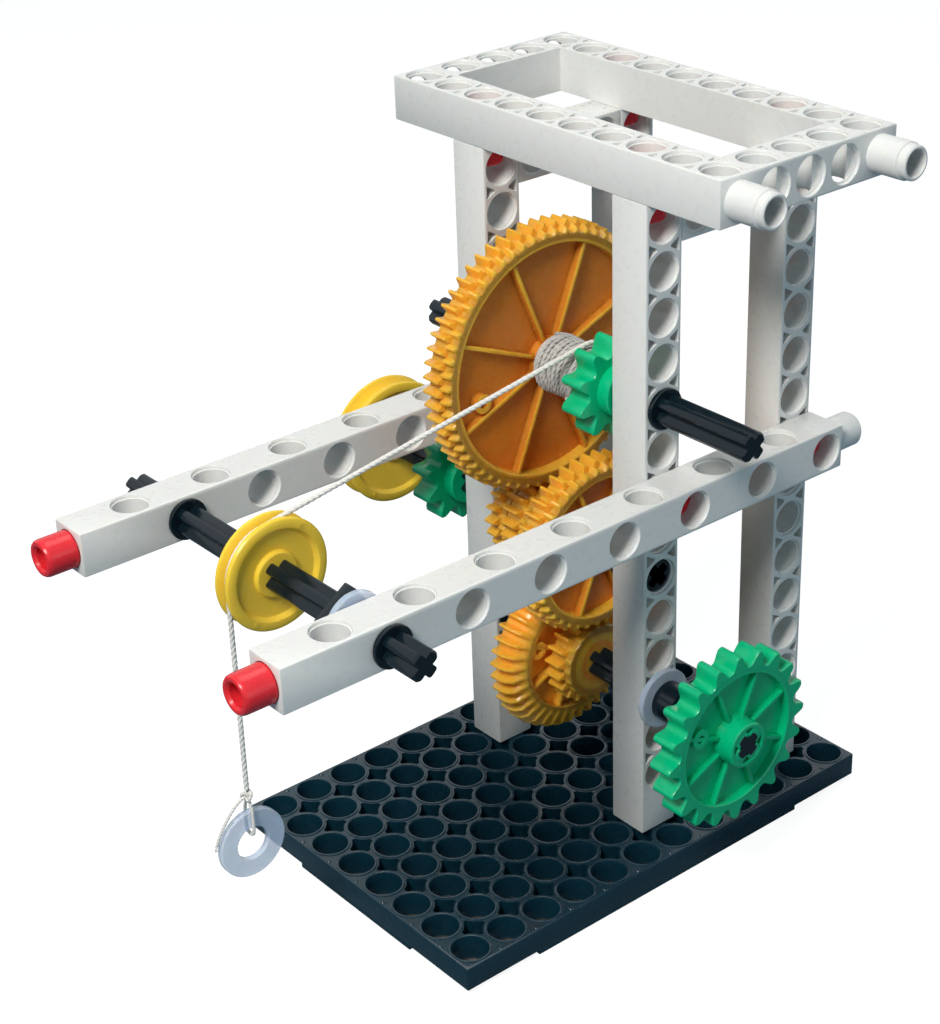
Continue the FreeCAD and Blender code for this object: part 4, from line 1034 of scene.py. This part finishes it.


# Winding: the same string wound on the winch shaft between the large wheel
# and the sprocket, an outer layer of close loops over plain inner layers.

# A darker copy of the string's cotton for the winding and its core between the wheels: painted shade.
STRING_SHADED = cotton("string_wound_painted_shade", (0.60, 0.585, 0.55), (0.42, 0.42, 0.41))
WOUND_LOOPS = 10
LOOP_STEPS = 12
WOUND_FROM = 3.1
WOUND_TO = -8.8
CORE_FROM = -10.3
CORE_TO = 3.9
CORE_STEPS = 36

wobble = random.Random(3)
coil = []
for step in range(LOOP_STEPS * WOUND_LOOPS + 1):
    share = step / (LOOP_STEPS * WOUND_LOOPS)
    turn = math.tau * step / LOOP_STEPS
    radius = 6.5 - 0.7 * share + wobble.uniform(-0.2, 0.2)
    y = WOUND_FROM + (WOUND_TO - WOUND_FROM) * share + wobble.uniform(-0.26, 0.26)
    coil.append((WINCH[0] + radius * math.sin(turn), y, WINCH[1] + radius * math.cos(turn)))
bm = bmesh.new()
twisted(bm, spline_points("winding_route", coil), ply=0.34, offset=0.17, gap=0.4, sides=6)
piece("string_winding_form", bm, STRING_SHADED, "winch_shaft", ["string_winding"], 60)

profile = [(0, CORE_FROM)]
for step in range(CORE_STEPS):
    share = step / (CORE_STEPS - 1)
    radius = 5.25 + 0.65 * share + (0.16 if step % 3 == 1 else -0.1)
    profile.append((radius, CORE_FROM + (CORE_TO - CORE_FROM) * share))
profile.append((0, CORE_TO))
bm = bmesh.new()
put(bm, turned(profile, 40), (WINCH[0], 0, WINCH[1]), ALONG_Y)
piece("string_core_form", bm, STRING_SHADED, "winch_shaft", ["string_core"])


# Floor: a plain pale surface that runs out into the white surround. Seen by
# the camera it glows, but under the plate the glow is switched off, a painted
# shade for where no light falls; it sends only a dull light back on the object.

FLOOR_HALF = 2.5
FLOOR_DROP = 0.0002
PAINTED_SHADE_UNDER_PLATE = (("X", 0.0585), ("Y", 0.0385))
FLOOR_GLOW = 0.9

bm = bmesh.new()
bmesh.ops.create_grid(bm, x_segments=1, y_segments=1, size=FLOOR_HALF)
bmesh.ops.translate(bm, vec=(0, 0, -FLOOR_DROP), verts=bm.verts)
floor_mesh = baked("floor", bm)
floor = bpy.data.objects.new("floor", floor_mesh)
scene.collection.objects.link(floor)
pale = bpy.data.materials.new("pale_floor")
pale.use_nodes = True
tree = pale.node_tree
nodes, links = tree.nodes, tree.links
nodes.clear()
out = nodes.new("ShaderNodeOutputMaterial")
dull = nodes.new("ShaderNodeBsdfDiffuse")
dull.inputs["Color"].default_value = (0.15, 0.21, 0.26, 1)
matt = nodes.new("ShaderNodeBsdfDiffuse")
matt.inputs["Color"].default_value = (0.25, 0.25, 0.25, 1)
glow = nodes.new("ShaderNodeEmission")
glow.inputs["Color"].default_value = (1, 1, 1, 1)
place = nodes.new("ShaderNodeTexCoord")
apart = nodes.new("ShaderNodeSeparateXYZ")
links.new(place.outputs["Object"], apart.inputs[0])
# The glow is off inside the plate's footprint: painted shade under the plate.
beyond = []
for axis, half in PAINTED_SHADE_UNDER_PLATE:
    beyond.append(maths(tree, "GREATER_THAN", maths(tree, "ABSOLUTE", apart.outputs[axis]), half))
clear = maths(tree, "MAXIMUM", *beyond)
links.new(maths(tree, "MULTIPLY", clear, FLOOR_GLOW), glow.inputs["Strength"])
bright = nodes.new("ShaderNodeAddShader")
links.new(matt.outputs[0], bright.inputs[0])
links.new(glow.outputs[0], bright.inputs[1])
seen = nodes.new("ShaderNodeLightPath")
mix = nodes.new("ShaderNodeMixShader")
links.new(seen.outputs["Is Camera Ray"], mix.inputs[0])
links.new(dull.outputs[0], mix.inputs[1])
links.new(bright.outputs[0], mix.inputs[2])
links.new(mix.outputs[0], out.inputs[0])
floor_mesh.materials.append(pale)
